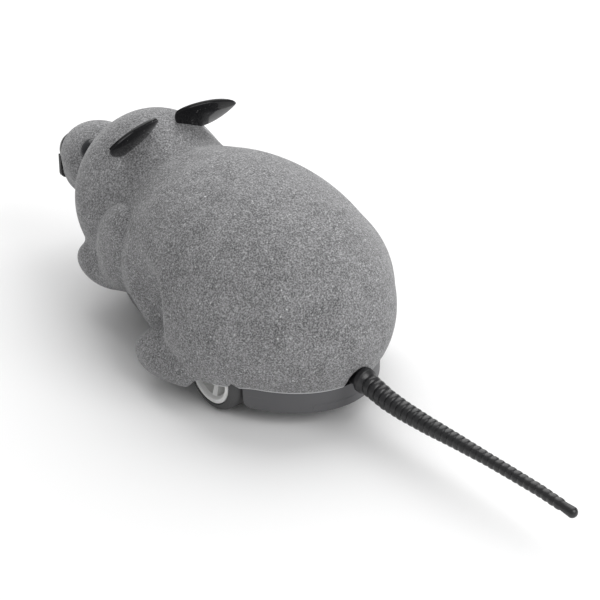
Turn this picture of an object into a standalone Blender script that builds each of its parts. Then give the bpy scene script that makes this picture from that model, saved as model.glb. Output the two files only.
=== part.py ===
"""A mouse shaped cat toy: a flocked shell over a wheeled chassis with a motor, gears and a steering bogie.

Lengths are in metres. While a piece is shaped, X runs to the animal's left, S runs back from the
muzzle towards the tail, and Z runs up from the floor. One parent empty then centres the toy on its box.
"""
import math
from collections import namedtuple

import bmesh
import bpy
import numpy as np
from mathutils import Matrix, Vector

# Sides of the round pieces, from pins to wheels
PIN_SIDES = 12
HOLE_SIDES = 14
SMALL_SIDES = 16
ROUND_SIDES = 20
DRUM_SIDES = 28
WHEEL_SIDES = 32
CORNER_STEPS = 3
SMOOTH_ANGLE = math.radians(35)

# Clearances
GAP = 0.0003
FIT_GAP = 0.00015
RUNNING_GAP = 0.0005
OVERRUN = 0.003

# Body form: each swelling has a place and half sizes across, along and up
RUMP_S = 0.0836
RUMP_Z = 0.0260
RUMP_HALF_WIDTH = 0.0314
RUMP_HALF_LENGTH = 0.0427
RUMP_HALF_HEIGHT = 0.0284
RUMP_PITCH = math.radians(-9.2)
CHEST_S = 0.0564
CHEST_Z = 0.0243
CHEST_HALF_WIDTH = 0.0219
CHEST_HALF_LENGTH = 0.0259
CHEST_HALF_HEIGHT = 0.0236
CHEST_BLEND = 0.006
HEAD_S = 0.0388
HEAD_Z = 0.0311
HEAD_HALF_WIDTH = 0.0222
HEAD_HALF_LENGTH = 0.0187
HEAD_HALF_HEIGHT = 0.0235
HEAD_BLEND = 0.004
BROW_S = 0.0165
BROW_Z = 0.0321
BROW_HALF_WIDTH = 0.0109
BROW_HALF_LENGTH = 0.0138
BROW_HALF_HEIGHT = 0.0099
BROW_PITCH = math.radians(-2.3)
BROW_BLEND = 0.004
MUZZLE_S = 0.0099
MUZZLE_Z = 0.0263
MUZZLE_HALF_WIDTH = 0.0072
MUZZLE_HALF_LENGTH = 0.0088
MUZZLE_HALF_HEIGHT = 0.0079
MUZZLE_BLEND = 0.003
HAUNCH_X = 0.0216
HAUNCH_S = 0.0960
HAUNCH_Z = 0.0250
HAUNCH_HALF_WIDTH = 0.0106
HAUNCH_HALF_LENGTH = 0.0172
HAUNCH_HALF_HEIGHT = 0.0174
HAUNCH_YAW = math.radians(13)
HAUNCH_BLEND = 0.002

# Limbs
LIMB_RINGS = 10
FOOT_X = 0.0250
FOOT_S = 0.0836
FOOT_Z = 0.0112
FOOT_HALF_WIDTH = 0.0070
FOOT_HALF_LENGTH = 0.0108
FOOT_HALF_HEIGHT = 0.0070
FOOT_YAW = math.radians(12)
TOES_X = 0.0272
TOES_S = 0.0800
TOES_Z = 0.0096
TOES_HALF_WIDTH = 0.0060
TOES_HALF_LENGTH = 0.0080
TOES_HALF_HEIGHT = 0.0052
TOES_YAW = math.radians(16)
ARM_X = 0.0196
ARM_S = 0.0508
ARM_Z = 0.0262
ARM_HALF_WIDTH = 0.0050
ARM_HALF_LENGTH = 0.0088
ARM_HALF_HEIGHT = 0.0142
ARM_PITCH = math.radians(-24)
ARM_YAW = math.radians(-12)
PAW_X = 0.0168
PAW_S = 0.0408
PAW_Z = 0.0152
PAW_HALF_WIDTH = 0.0064
PAW_HALF_LENGTH = 0.0112
PAW_HALF_HEIGHT = 0.0060
PAW_YAW = math.radians(4)

# Shell and its seam with the chassis
HALVINGS = 24
SHELL_WALL = 0.0016
RIM_Z = 0.0110
POST_RADIUS = 0.0024
FRONT_POST_X = 0.0190
FRONT_POST_S = 0.0700
REAR_POST_X = 0.0145
REAR_POST_S = 0.1095
SCREW_RADIUS = 0.00105
SCREW_HEAD_RADIUS = 0.0020
SCREW_HEAD_THICKNESS = 0.0010
SCREW_BITE = 0.0070

# Chassis tub
TUB_INSET = 0.0004
TUB_WALL = 0.0012
BELLY_Z = 0.0082
PAN_DROP = 0.00525
PAN_FLOOR = 0.0010
PAN_S = 0.1057
PAN_CORNER = 0.0020
SPINE_HALF_WIDTH = 0.0139
SPINE_S = 0.0664
LIP_RISE = 0.0020
LIP_GAP = 0.0008
SLOT_STEPS = 10
OUTLINE_STEPS = 22
BOSS_RADIUS = 0.0028

# Rear axle and wheels
AXLE_S = 0.0950
AXLE_RADIUS = 0.0012
WHEEL_RADIUS = 0.00985
WHEEL_FACE_X = 0.0252
WHEEL_WIDTH = 0.0100
TYRE_SHOULDER = 0.0020
TYRE_THICKNESS = 0.00225
HUB_BARREL_WALL = 0.0012
HUB_WEB = 0.0016
HUB_DISH = 0.0010
HUB_BOSS_RADIUS = 0.0024
HUB_CAP = 0.0010
HUB_RING = 0.0022
SPOKE_ROOT = 0.0006
WINDOW_COUNT = 5
WINDOW_STEPS = 4
SPOKE_WIDTH = 0.0018
SPOKE_PHASE = math.radians(-62)
ARCH_GAP = 0.0007

# Steering bogie and front wheels
BOGIE_S = 0.0500
FRONT_WHEEL_RADIUS = 0.0060
FRONT_WHEEL_FACE_X = 0.0118
FRONT_WHEEL_WIDTH = 0.0038
FRONT_SHOULDER = 0.0016
FRONT_AXLE_RADIUS = 0.0008
FRONT_BORE_WALL = 0.0012
RECESS_RADIUS = 0.0151
RECESS_SKIRT = 0.0010
RECESS_STEP_RADIUS = 0.0137
RECESS_LIP = 0.0006
ROOF_CLEARANCE = 0.0006
ROOF_THICKNESS = 0.0012
BOGIE_HALF_LENGTH = 0.0030
BOGIE_BASE_Z = 0.0042
BOGIE_DISC_RADIUS = 0.0065
BOGIE_DISC_THICKNESS = 0.0014
PIVOT_RADIUS = 0.0019
PIVOT_SCREW_RADIUS = 0.0008
PIVOT_HEAD_RADIUS = 0.0032
PIVOT_HEAD_THICKNESS = 0.0010
PIVOT_SCREW_BITE = 0.0040

# Gear train, front to back: motor pinion, first gear, second gear, axle gear
MODULE = 0.0004
GEAR_WIDTH = 0.0018
GEAR_SIDE_GAP = 0.0002
PINION_TEETH = 8
FIRST_LARGE_TEETH = 25
FIRST_SMALL_TEETH = 10
SECOND_LARGE_TEETH = 22
SECOND_SMALL_TEETH = 14
AXLE_TEETH = 18
CENTRE_SLACK = 0.0001
SECOND_LIFT = math.radians(105)
FIRST_LIFT = math.radians(160)
MOTOR_LIFT = math.radians(190)
DEDENDUM_SHARE = 1.25
TOOTH_ROOT_SHARE = 0.31
TOOTH_TIP_SHARE = 0.10
GEAR_PIN_RADIUS = 0.0006

# Gearbox frame
FRAME_WALL = 0.0012
FRAME_FRONT_S = 0.0765
FRAME_REAR_S = 0.0990
FRAME_RISE = 0.01495
FRAME_CHAMFER = 0.0030
PILLAR_RADIUS = 0.0012
PILLAR_INSET = 0.0027
BUSH_RADIUS = 0.0024
BUSH_LENGTH = 0.0018

# Motor
MOTOR_RADIUS = 0.0060
MOTOR_FLAT = 0.0050
MOTOR_LENGTH = 0.0118
MOTOR_CAP_LENGTH = 0.0020
MOTOR_BOSS_RADIUS = 0.0020
MOTOR_SHAFT_RADIUS = 0.00075
MOTOR_SHAFT_SEAT = 0.0030

# Batteries, their holder and door
CELL_RADIUS = 0.0058
CELL_LENGTH = 0.0054
CELL_COUNT = 3
CELL_S = 0.1068
CONTACT_THICKNESS = 0.0003
CONTACT_HALF_WIDTH = 0.0040
HOLDER_WALL = 0.0010
HOLDER_FOOT_X = 0.0123
DOOR_HALF_WIDTH = 0.0094
DOOR_TONGUE = 0.0008
DOOR_PLATE = 0.0008
DOOR_S = 0.0999
DOOR_STEPS = 12

# Circuit board and switch
BOARD_HALF_WIDTH = 0.0120
BOARD_FRONT_S = 0.0410
BOARD_REAR_S = 0.0620
BOARD_THICKNESS = 0.0010
BOARD_POST_RADIUS = 0.0016
BOARD_POST_RISE = 0.0042
BOARD_POST_X = 0.0088
BOARD_POST_INSET = 0.0036
CHIP_HALF_WIDTH = 0.0040
CHIP_THICKNESS = 0.0015
CHIP_S = 0.0500
CAPACITOR_RADIUS = 0.0022
CAPACITOR_HEIGHT = 0.0054
CAPACITOR_X = 0.0085
CAPACITOR_S = 0.0565
SWITCH_REAR_GAP = 0.00065
SWITCH_HALF_WIDTH = 0.0016
SWITCH_HALF_LENGTH = 0.0040
SWITCH_HEIGHT = 0.0035
KNOB_HALF_WIDTH = 0.0009
KNOB_HALF_LENGTH = 0.0014
KNOB_PROUD = 0.0009
KNOB_TRAVEL = 0.0020

# Ears: a leaf on an inner and an outer point, with its own rise and drop about that line
EAR_INNER = Vector((0.0030, 0.0463, 0.0568))
EAR_OUTER = Vector((0.0210, 0.0494, 0.0554))
EAR_FACING = Vector((-0.27, 0.83, -0.485))
EAR_RISE = 0.0032
EAR_DROP = 0.0082
EAR_THICKNESS = 0.0013
EAR_EDGE = 0.0010
EAR_BULGE = 0.0009
EAR_TIP_SHARE = 0.6
EAR_BLUNT_SHARE = 0.05
EAR_ROOT_SHARE = -0.38
EAR_RING_SHARES = ((1, 0), (0.8, 0.7), (0.4, 1))
EAR_PEG_RADIUS = 0.0012
EAR_PEG_REACH = 0.0100
EAR_STEPS = 22

# Eyes and nose
EYE_X = 0.0074
EYE_S = 0.0196
EYE_RADIUS = 0.0026
EYE_PROUD = 0.0018
EYE_DOME_STEPS = 5
EYE_FLANGE_RADIUS = 0.0034
EYE_FLANGE_THICKNESS = 0.0010
NOSE_S = 0.0030
NOSE_Z = 0.0296
NOSE_HALF_WIDTH = 0.0048
NOSE_HALF_LENGTH = 0.0046
NOSE_HALF_HEIGHT = 0.0052
NOSE_PEG_RADIUS = 0.0014
NOSE_PEG_REACH = 0.0060
LIP_HALF_WIDTH = 0.0034
LIP_THICKNESS = 0.0011
LIP_TOP_Z = 0.0275
LIP_BOTTOM_Z = 0.0199
LIP_CORNER = 0.0018

# Tail
TAIL_Z = 0.0139
TAIL_RADIUS = 0.0030
TAIL_NECK_RADIUS = 0.0025
TAIL_COLLAR_RADIUS = 0.0034
TAIL_COLLAR_S = 0.1264
TAIL_TIP_S = 0.2010
TAIL_RIB_PITCH = 0.0020
TAIL_FLANGE_RADIUS = 0.0040
TAIL_FLANGE_THICKNESS = 0.0015
TAIL_SAG = 0.0020
TAIL_SAG_SHARES = ((0, 0), (0.12, -0.75), (0.2, -0.85), (0.32, -0.7), (0.45, -0.35), (0.6, -0.05),
                   (0.7, 0.1), (0.84, 0.25), (1, 0.1))
TAIL_TAPER_SHARES = ((0, 1), (0.12, 0.92), (0.6, 0.56), (1, 0.48))
TAIL_GROOVE_SHARE = 0.84
TIP_STEPS = 4
TAIL_RESOLUTION = 2

# Wires, as the routes that they are laid in, from the part they leave to the board
WIRE_RADIUS = 0.0005
WIRE_STEPS = 3
WIRE_RESOLUTION = 1
MOTOR_WIRE_RED = ((0.0150, 0.0806, 0.0196), (0.0158, 0.0792, 0.0250), (0.0135, 0.0742, 0.0274),
                  (0.0085, 0.0665, 0.0250), (0.0058, 0.0608, 0.0222), (0.0055, 0.0598, 0.0199))
MOTOR_WIRE_BLACK = ((0.0150, 0.0806, 0.0148), (0.0176, 0.0800, 0.0160), (0.0190, 0.0780, 0.0220),
                    (0.0170, 0.0740, 0.0285), (0.0115, 0.0680, 0.0270), (0.0088, 0.0612, 0.0222),
                    (0.0085, 0.0605, 0.0199))
BATTERY_WIRE_RED = ((0.0088, 0.1040, 0.0202), (0.0090, 0.1020, 0.0250), (0.0060, 0.0950, 0.0300),
                    (0.0030, 0.0850, 0.0310), (0.0020, 0.0720, 0.0280), (0.0020, 0.0615, 0.0225),
                    (0.0020, 0.0605, 0.0199))
BATTERY_WIRE_BLACK = ((-0.0088, 0.1040, 0.0202), (-0.0090, 0.1020, 0.0250), (-0.0070, 0.0950, 0.0300),
                      (-0.0040, 0.0850, 0.0310), (-0.0030, 0.0720, 0.0280), (-0.0030, 0.0615, 0.0225),
                      (-0.0030, 0.0605, 0.0199))

# Heights and places that follow from the sizes above
LEDGE_Z = RIM_Z - GAP
LIP_TOP = RIM_Z + LIP_RISE
LIP_INSET = SHELL_WALL + LIP_GAP
CAVITY_INSET = LIP_INSET + TUB_WALL
PAN_Z = WHEEL_RADIUS - PAN_DROP
PAN_FLOOR_Z = PAN_Z + PAN_FLOOR
BELLY_FLOOR_Z = BELLY_Z + TUB_WALL
WHEEL_INNER_X = WHEEL_FACE_X - WHEEL_WIDTH
NOTCH_X = WHEEL_INNER_X - ARCH_GAP
NOTCH_REACH = WHEEL_RADIUS + ARCH_GAP
HUB_RADIUS = WHEEL_RADIUS - TYRE_THICKNESS
WINDOW_INNER = HUB_BOSS_RADIUS + SPOKE_ROOT
WINDOW_OUTER = HUB_RADIUS - HUB_RING
FRAME_TOP_Z = WHEEL_RADIUS + FRAME_RISE
SWITCH_X = SPINE_HALF_WIDTH + GAP + SWITCH_HALF_WIDTH
SWITCH_S = AXLE_S - NOTCH_REACH - TUB_WALL - SWITCH_REAR_GAP - SWITCH_HALF_LENGTH
ROOF_Z = 2 * FRONT_WHEEL_RADIUS + ROOF_CLEARANCE
ROOF_TOP_Z = ROOF_Z + ROOF_THICKNESS
BOARD_Z = ROOF_TOP_Z + BOARD_POST_RISE + GAP
BOARD_TOP_Z = BOARD_Z + BOARD_THICKNESS
CELL_PITCH = CELL_LENGTH + GAP
CELL_STACK_X = (CELL_COUNT * CELL_PITCH - GAP) / 2
CONTACT_X = CELL_STACK_X + GAP
HOLDER_POCKET_X = CONTACT_X + CONTACT_THICKNESS + GAP
TONGUE_Z = PAN_Z + DOOR_PLATE + GAP
TONGUE_TOP_Z = TONGUE_Z + DOOR_PLATE
CHANNEL_TOP_Z = TONGUE_TOP_Z + GAP
CELL_Z = CHANNEL_TOP_Z + CELL_RADIUS
HOLDER_RADIUS = CELL_RADIUS + GAP
NOSE_FRONT_S = min(NOSE_S - NOSE_HALF_LENGTH, -LIP_THICKNESS)
MIDDLE_S = (NOSE_FRONT_S + TAIL_TIP_S) / 2
SKIN_REACH = RUMP_HALF_LENGTH + RUMP_HALF_WIDTH

Fineness = namedtuple("Fineness", "round barrel cap")
FINE = Fineness(36, 16, 7)
COARSE = Fineness(28, 12, 6)

Form = namedtuple("Form", "place half pitch yaw blend both")
BODY = (
    Form((0, RUMP_S, RUMP_Z), (RUMP_HALF_WIDTH, RUMP_HALF_LENGTH, RUMP_HALF_HEIGHT),
         RUMP_PITCH, 0, 0, False),
    Form((0, CHEST_S, CHEST_Z), (CHEST_HALF_WIDTH, CHEST_HALF_LENGTH, CHEST_HALF_HEIGHT),
         0, 0, CHEST_BLEND, False),
    Form((0, HEAD_S, HEAD_Z), (HEAD_HALF_WIDTH, HEAD_HALF_LENGTH, HEAD_HALF_HEIGHT),
         0, 0, HEAD_BLEND, False),
    Form((0, BROW_S, BROW_Z), (BROW_HALF_WIDTH, BROW_HALF_LENGTH, BROW_HALF_HEIGHT),
         BROW_PITCH, 0, BROW_BLEND, False),
    Form((0, MUZZLE_S, MUZZLE_Z), (MUZZLE_HALF_WIDTH, MUZZLE_HALF_LENGTH, MUZZLE_HALF_HEIGHT),
         0, 0, MUZZLE_BLEND, False),
    Form((HAUNCH_X, HAUNCH_S, HAUNCH_Z), (HAUNCH_HALF_WIDTH, HAUNCH_HALF_LENGTH, HAUNCH_HALF_HEIGHT),
         0, HAUNCH_YAW, HAUNCH_BLEND, True),
)
LIMBS = (
    Form((FOOT_X, FOOT_S, FOOT_Z), (FOOT_HALF_WIDTH, FOOT_HALF_LENGTH, FOOT_HALF_HEIGHT),
         0, FOOT_YAW, 0, True),
    Form((TOES_X, TOES_S, TOES_Z), (TOES_HALF_WIDTH, TOES_HALF_LENGTH, TOES_HALF_HEIGHT),
         0, TOES_YAW, 0, True),
    Form((ARM_X, ARM_S, ARM_Z), (ARM_HALF_WIDTH, ARM_HALF_LENGTH, ARM_HALF_HEIGHT),
         ARM_PITCH, ARM_YAW, 0, True),
    Form((PAW_X, PAW_S, PAW_Z), (PAW_HALF_WIDTH, PAW_HALF_LENGTH, PAW_HALF_HEIGHT),
         0, PAW_YAW, 0, True),
)
SPINE = ((BROW_S, (BROW_Z + MUZZLE_Z) / 2), (HEAD_S, HEAD_Z), (RUMP_S, RUMP_Z))

# Ways to turn a shape that was made standing on Z
UPRIGHT = Matrix.Identity(4)
ALONG_X = Matrix.Rotation(math.radians(90), 4, "Y")
ALONG_S = Matrix.Rotation(math.radians(-90), 4, "X")

# Ways to carry an outline: its first and second numbers become S and Z, or X and Z
OUTLINE_ALONG_X = Matrix(((0, 0, 1, 0), (1, 0, 0, 0), (0, 1, 0, 0), (0, 0, 0, 1)))
OUTLINE_ALONG_S = Matrix(((1, 0, 0, 0), (0, 0, 1, 0), (0, 1, 0, 0), (0, 0, 0, 1)))

Look = namedtuple("Look", "colour roughness metallic")
FLOCK = Look((0.21, 0.21, 0.215, 1), 0.95, 0)
DARK_GREY_PLASTIC = Look((0.10, 0.10, 0.105, 1), 0.55, 0)
BLACK_GLOSS = Look((0.012, 0.012, 0.014, 1), 0.25, 0)
BLACK_RUBBER = Look((0.02, 0.02, 0.021, 1), 0.7, 0)
WHITE_PLASTIC = Look((0.85, 0.85, 0.84, 1), 0.35, 0)
CREAM_PLASTIC = Look((0.75, 0.70, 0.58, 1), 0.4, 0)
STEEL = Look((0.62, 0.62, 0.63, 1), 0.3, 1)
BRASS = Look((0.72, 0.55, 0.25, 1), 0.35, 1)
BOARD_GREEN = Look((0.03, 0.17, 0.07, 1), 0.5, 0)
RED_SLEEVE = Look((0.5, 0.02, 0.02, 1), 0.5, 0)


def clear_scene():
    for old in list(bpy.data.objects):
        bpy.data.objects.remove(old, do_unlink=True)


def make_frame():
    """The empty that carries every piece and puts the toy's middle over the origin."""
    frame = bpy.data.objects.new("toy_frame", None)
    frame.location = (0, -MIDDLE_S, 0)
    bpy.context.scene.collection.objects.link(frame)
    return frame


def look_material(name, look):
    material = bpy.data.materials.new(name)
    material.use_nodes = True
    shader = material.node_tree.nodes["Principled BSDF"]
    shader.inputs["Base Color"].default_value = look.colour
    shader.inputs["Roughness"].default_value = look.roughness
    shader.inputs["Metallic"].default_value = look.metallic
    return material


def add_piece(frame, name, bm, look, place=(0, 0, 0)):
    """Turns a bmesh in the toy's own coordinates into an object whose origin is at place."""
    bmesh.ops.recalc_face_normals(bm, faces=bm.faces)
    bmesh.ops.translate(bm, verts=bm.verts, vec=-Vector(place))
    mesh = bpy.data.meshes.new(name)
    bm.to_mesh(mesh)
    bm.free()
    mesh.shade_smooth()
    mesh.set_sharp_from_angle(angle=SMOOTH_ANGLE)
    piece = bpy.data.objects.new(name, mesh)
    piece.location = place
    piece.parent = frame
    bpy.context.scene.collection.objects.link(piece)
    if look:
        mesh.materials.append(look_material(name, look))
    return piece


def add_tool(frame, name, bm):
    """A solid that only shapes others."""
    tool = add_piece(frame, name, bm, None)
    tool.hide_render = True
    tool.display_type = "WIRE"
    return tool


def shape_with(piece, tool, operation, label):
    modifier = piece.modifiers.new(label, "BOOLEAN")
    modifier.operation = operation
    modifier.solver = "EXACT"
    modifier.object = tool


def cut(frame, piece, bm, label):
    tool = add_tool(frame, f"{piece.name}_{label}", bm)
    shape_with(piece, tool, "DIFFERENCE", label)
    return tool


def join(frame, piece, bm, label):
    tool = add_tool(frame, f"{piece.name}_{label}", bm)
    shape_with(piece, tool, "UNION", label)
    return tool


def add_box(bm, low, high):
    outline = [(low[0], low[1]), (high[0], low[1]), (high[0], high[1]), (low[0], high[1])]
    add_prism(bm, outline, low[2], high[2])


def add_prism(bm, outline, low, high, turn=UPRIGHT):
    """Extrudes an outline of (x, y) points from low to high along Z, then turns it."""
    rings = [[bm.verts.new(turn @ Vector((x, y, z))) for x, y in outline] for z in (low, high)]
    bm.faces.new(list(reversed(rings[0])))
    bm.faces.new(rings[1])
    for i in range(len(outline)):
        k = (i + 1) % len(outline)
        bm.faces.new((rings[0][i], rings[0][k], rings[1][k], rings[1][i]))


def add_turned(bm, profile, place=(0, 0, 0), turn=UPRIGHT, segments=ROUND_SIDES):
    """Turns a closed profile of (radius, height) about Z; a radius of zero closes it with a cap."""
    carry = Matrix.Translation(place) @ turn
    angles = [2 * math.pi * i / segments for i in range(segments)]
    rings = []
    for radius, height in profile:
        if radius > 0:
            points = [Vector((radius * math.cos(a), radius * math.sin(a), height)) for a in angles]
            rings.append([bm.verts.new(carry @ point) for point in points])
    links = list(zip(rings, rings[1:]))
    if len(rings) < len(profile):
        bm.faces.new(rings[0])
        bm.faces.new(rings[-1])
    else:
        links.append((rings[-1], rings[0]))
    for ring, following in links:
        for i in range(segments):
            k = (i + 1) % segments
            bm.faces.new((ring[i], ring[k], following[k], following[i]))


def add_rod(bm, radius, low, high, place=(0, 0, 0), turn=UPRIGHT, segments=ROUND_SIDES):
    add_turned(bm, [(0, low), (radius, low), (radius, high), (0, high)], place, turn, segments)


def fresh():
    return bmesh.new()


def rod(radius, low, high, place=(0, 0, 0), turn=UPRIGHT, segments=ROUND_SIDES):
    bm = fresh()
    add_rod(bm, radius, low, high, place, turn, segments)
    return bm


def box(low, high):
    bm = fresh()
    add_box(bm, low, high)
    return bm


def prism(outline, low, high, turn=UPRIGHT):
    bm = fresh()
    add_prism(bm, outline, low, high, turn)
    return bm


def slot_outline(radius, centre, end, steps=SLOT_STEPS):
    """A round seat at centre whose straight sides run up or down to the height end."""
    way = math.copysign(1, centre[1] - end)
    arc = [(centre[0] + radius * math.cos(math.pi * i / steps),
            centre[1] + way * radius * math.sin(math.pi * i / steps)) for i in range(steps + 1)]
    return [*arc, (centre[0] - radius, end), (centre[0] + radius, end)]


def corner_points(radius):
    """A rounded corner, as how far it stands back along its two sides."""
    turns = [math.pi / 2 * i / CORNER_STEPS for i in range(CORNER_STEPS + 1)]
    return [(radius * (1 - math.cos(a)), radius * (1 - math.sin(a))) for a in turns]


def form_turn(form, side=1):
    return Matrix.Rotation(side * form.yaw, 3, "Z") @ Matrix.Rotation(form.pitch, 3, "X")


def form_distance(points, form, side=1):
    """About how far each point lies outside one swelling."""
    place = np.array((side * form.place[0], *form.place[1:]))
    half = np.array(form.half)
    local = (points - place) @ np.array(form_turn(form, side))
    near = np.linalg.norm(local / half, axis=-1)
    slope = np.linalg.norm(local / half ** 2, axis=-1) + np.finfo(float).eps
    return near * (near - 1) / slope


def body_distance(points):
    """About how far each point lies outside the body, whose swellings run softly into each other."""
    total = None
    for form in BODY:
        distance = form_distance(points, form)
        if form.both:
            distance = np.minimum(distance, form_distance(points, form, -1))
        if total is None:
            total = distance
            continue
        share = np.clip(0.5 + 0.5 * (total - distance) / form.blend, 0, 1)
        total = total * (1 - share) + distance * share - form.blend * share * (1 - share)
    return total


def crossing(inside, outside, level):
    """Where a straight way from inside to outside passes the surface at this distance."""
    for _ in range(HALVINGS):
        middle = (inside + outside) / 2
        within = (body_distance(middle) < level)[..., None]
        inside = np.where(within, middle, inside)
        outside = np.where(within, outside, middle)
    return (inside + outside) / 2


def spine_point(s):
    return np.array((0, s, np.interp(s, [p[0] for p in SPINE], [p[1] for p in SPINE])))


def skin(offset, fineness=FINE):
    """The closed surface that lies offset outside the body, in rings about its spine."""
    rows = []
    front = SPINE[0][0]
    rear = SPINE[-1][0]
    round_angles = [2 * math.pi * j / fineness.round for j in range(fineness.round)]
    for i in range(1, fineness.cap + 1):
        tilt = math.pi / 2 * i / fineness.cap
        rows += [(front, (math.sin(tilt) * math.sin(a), -math.cos(tilt), math.sin(tilt) * math.cos(a)))
                 for a in round_angles]
    for i in range(1, fineness.barrel):
        s = front + (rear - front) * i / fineness.barrel
        rows += [(s, (math.sin(a), 0, math.cos(a))) for a in round_angles]
    for i in range(fineness.cap):
        tilt = math.pi / 2 * i / fineness.cap
        rows += [(rear, (math.cos(tilt) * math.sin(a), math.sin(tilt), math.cos(tilt) * math.cos(a)))
                 for a in round_angles]
    rows += [(front, (0, -1, 0)), (rear, (0, 1, 0))]
    starts = np.array([spine_point(s) for s, _ in rows])
    ways = np.array([way for _, way in rows])
    points = crossing(starts, starts + ways * SKIN_REACH, offset)
    bm = fresh()
    verts = [bm.verts.new(point) for point in points]
    n = fineness.round
    rings = (len(verts) - 2) // n
    for i in range(rings - 1):
        for j in range(n):
            k = (j + 1) % n
            bm.faces.new((verts[i * n + j], verts[i * n + k], verts[(i + 1) * n + k], verts[(i + 1) * n + j]))
    last = (rings - 1) * n
    for j in range(n):
        k = (j + 1) % n
        bm.faces.new((verts[-2], verts[k], verts[j]))
        bm.faces.new((verts[-1], verts[last + j], verts[last + k]))
    bmesh.ops.triangulate(bm, faces=bm.faces)
    return bm


def half_width(s, inset):
    """The body's half width in the seam's plane, drawn in by inset."""
    inside = np.array((0, s, RIM_Z))
    if body_distance(inside) >= -inset:
        return 0
    return crossing(inside, inside + np.array((SKIN_REACH, 0, 0)), -inset)[0]


def end_station(way, inset, x=0):
    """Where the seam's plane meets the body in front (way -1) or behind (way 1)."""
    inside = np.array((x, RUMP_S, RIM_Z))
    return crossing(inside, inside + np.array((0, way * SKIN_REACH, 0)), -inset)[1]


def seam_outline(inset, front=None, rear=None):
    """The body's outline in the seam's plane, drawn in by inset, between two stations."""
    front = end_station(-1, inset) if front is None else front
    rear = end_station(1, inset) if rear is None else rear
    middle = (front + rear) / 2
    stations = [middle - (rear - front) / 2 * math.cos(math.pi * i / OUTLINE_STEPS)
                for i in range(OUTLINE_STEPS + 1)]
    right = [(half_width(s, inset), s) for s in stations]
    left = [(-x, s) for x, s in reversed(right) if x > 0]
    return [point for point in right if point[0] > 0] + left


def round_outline(radius, inset):
    """A circle about the bogie's pivot, kept within the seam outline drawn in by inset."""
    outline = []
    for i in range(2 * OUTLINE_STEPS):
        angle = math.pi * (i + 0.5) / OUTLINE_STEPS
        s = BOGIE_S + radius * math.sin(angle)
        x = radius * math.cos(angle)
        outline.append((math.copysign(min(abs(x), half_width(s, inset)), x), s))
    return outline


def gear_place(start, radii, lift):
    """The next shaft's (s, z), at the mesh distance from start in the direction lift."""
    reach = radii + CENTRE_SLACK
    return (start[0] + reach * math.cos(lift), start[1] + reach * math.sin(lift))


def pitch_radius(teeth):
    return MODULE * teeth / 2


AXLE = (AXLE_S, WHEEL_RADIUS)
SECOND = gear_place(AXLE, pitch_radius(AXLE_TEETH + SECOND_SMALL_TEETH), SECOND_LIFT)
FIRST = gear_place(SECOND, pitch_radius(SECOND_LARGE_TEETH + FIRST_SMALL_TEETH), FIRST_LIFT)
MOTOR = gear_place(FIRST, pitch_radius(FIRST_LARGE_TEETH + PINION_TEETH), MOTOR_LIFT)

# Planes of the gear train, counted from the motor's face towards the animal's right
FRAME_NEAR_X = -GAP
FRAME_NEAR_INNER_X = FRAME_NEAR_X - FRAME_WALL
PLANE_PITCH = GEAR_WIDTH + GEAR_SIDE_GAP
PLANE_ONE_X = FRAME_NEAR_INNER_X - RUNNING_GAP
PLANE_TWO_X = PLANE_ONE_X - PLANE_PITCH
PLANE_THREE_X = PLANE_TWO_X - PLANE_PITCH
GEARS_END_X = PLANE_THREE_X - GEAR_WIDTH
FRAME_FAR_INNER_X = GEARS_END_X - RUNNING_GAP
FRAME_FAR_X = FRAME_FAR_INNER_X - FRAME_WALL


def add_gear(bm, teeth, centre, phase, low, high):
    """A spur gear about an axis along X, with one tooth at the angle phase."""
    root = pitch_radius(teeth) - MODULE * DEDENDUM_SHARE
    tip = pitch_radius(teeth) + MODULE
    pitch = 2 * math.pi / teeth
    outline = []
    for i in range(teeth):
        middle = phase + i * pitch
        for radius, share in ((root, -TOOTH_ROOT_SHARE), (tip, -TOOTH_TIP_SHARE),
                              (tip, TOOTH_TIP_SHARE), (root, TOOTH_ROOT_SHARE)):
            angle = middle + share * pitch
            outline.append((centre[0] + radius * math.cos(angle), centre[1] + radius * math.sin(angle)))
    add_prism(bm, outline, low, high, OUTLINE_ALONG_X)


def tooth_phase(centre, partner):
    """The direction from one shaft to the next, where the driving gear has a tooth."""
    return math.atan2(partner[1] - centre[1], partner[0] - centre[0])


def gap_phase(centre, partner, teeth):
    """The phase that puts a gap where the driving gear has its tooth."""
    return tooth_phase(centre, partner) + math.pi / teeth


def ellipsoid(form, side=1, segments=SMALL_SIDES, rings=LIMB_RINGS):
    bm = fresh()
    place = Vector((side * form.place[0], *form.place[1:]))
    shape = Matrix.Translation(place) @ form_turn(form, side).to_4x4() @ Matrix.Diagonal((*form.half, 1))
    bmesh.ops.create_uvsphere(bm, u_segments=segments, v_segments=rings, radius=1, matrix=shape)
    return bm


def surface_frame(x, s):
    """The top of the skin over (x, s), with Z along its outward normal."""
    inside = np.array((x, s, spine_point(s)[2]))
    point = crossing(inside, inside + np.array((0, 0, SKIN_REACH)), 0)
    steps = np.eye(3) * FIT_GAP
    normal = Vector([float(body_distance(point + step) - body_distance(point - step)) for step in steps])
    turn = normal.to_track_quat("Z", "Y").to_matrix().to_4x4()
    return Matrix.Translation(Vector(point)) @ turn


def post_places():
    front = [(side * FRONT_POST_X, FRONT_POST_S) for side in (1, -1)]
    rear = [(side * REAR_POST_X, REAR_POST_S) for side in (1, -1)]
    return front, rear


def ear_axes(side):
    """The ear's middle and its directions along, up and out of the rear face."""
    mirror = Vector((side, 1, 1))
    inner = EAR_INNER * mirror
    outer = EAR_OUTER * mirror
    along = (outer - inner).normalized()
    facing = (EAR_FACING * mirror)
    facing = (facing - along * facing.dot(along)).normalized()
    up = along.cross(facing) * side
    return (inner + outer) / 2, along, up, facing, (outer - inner).length / 2


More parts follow.
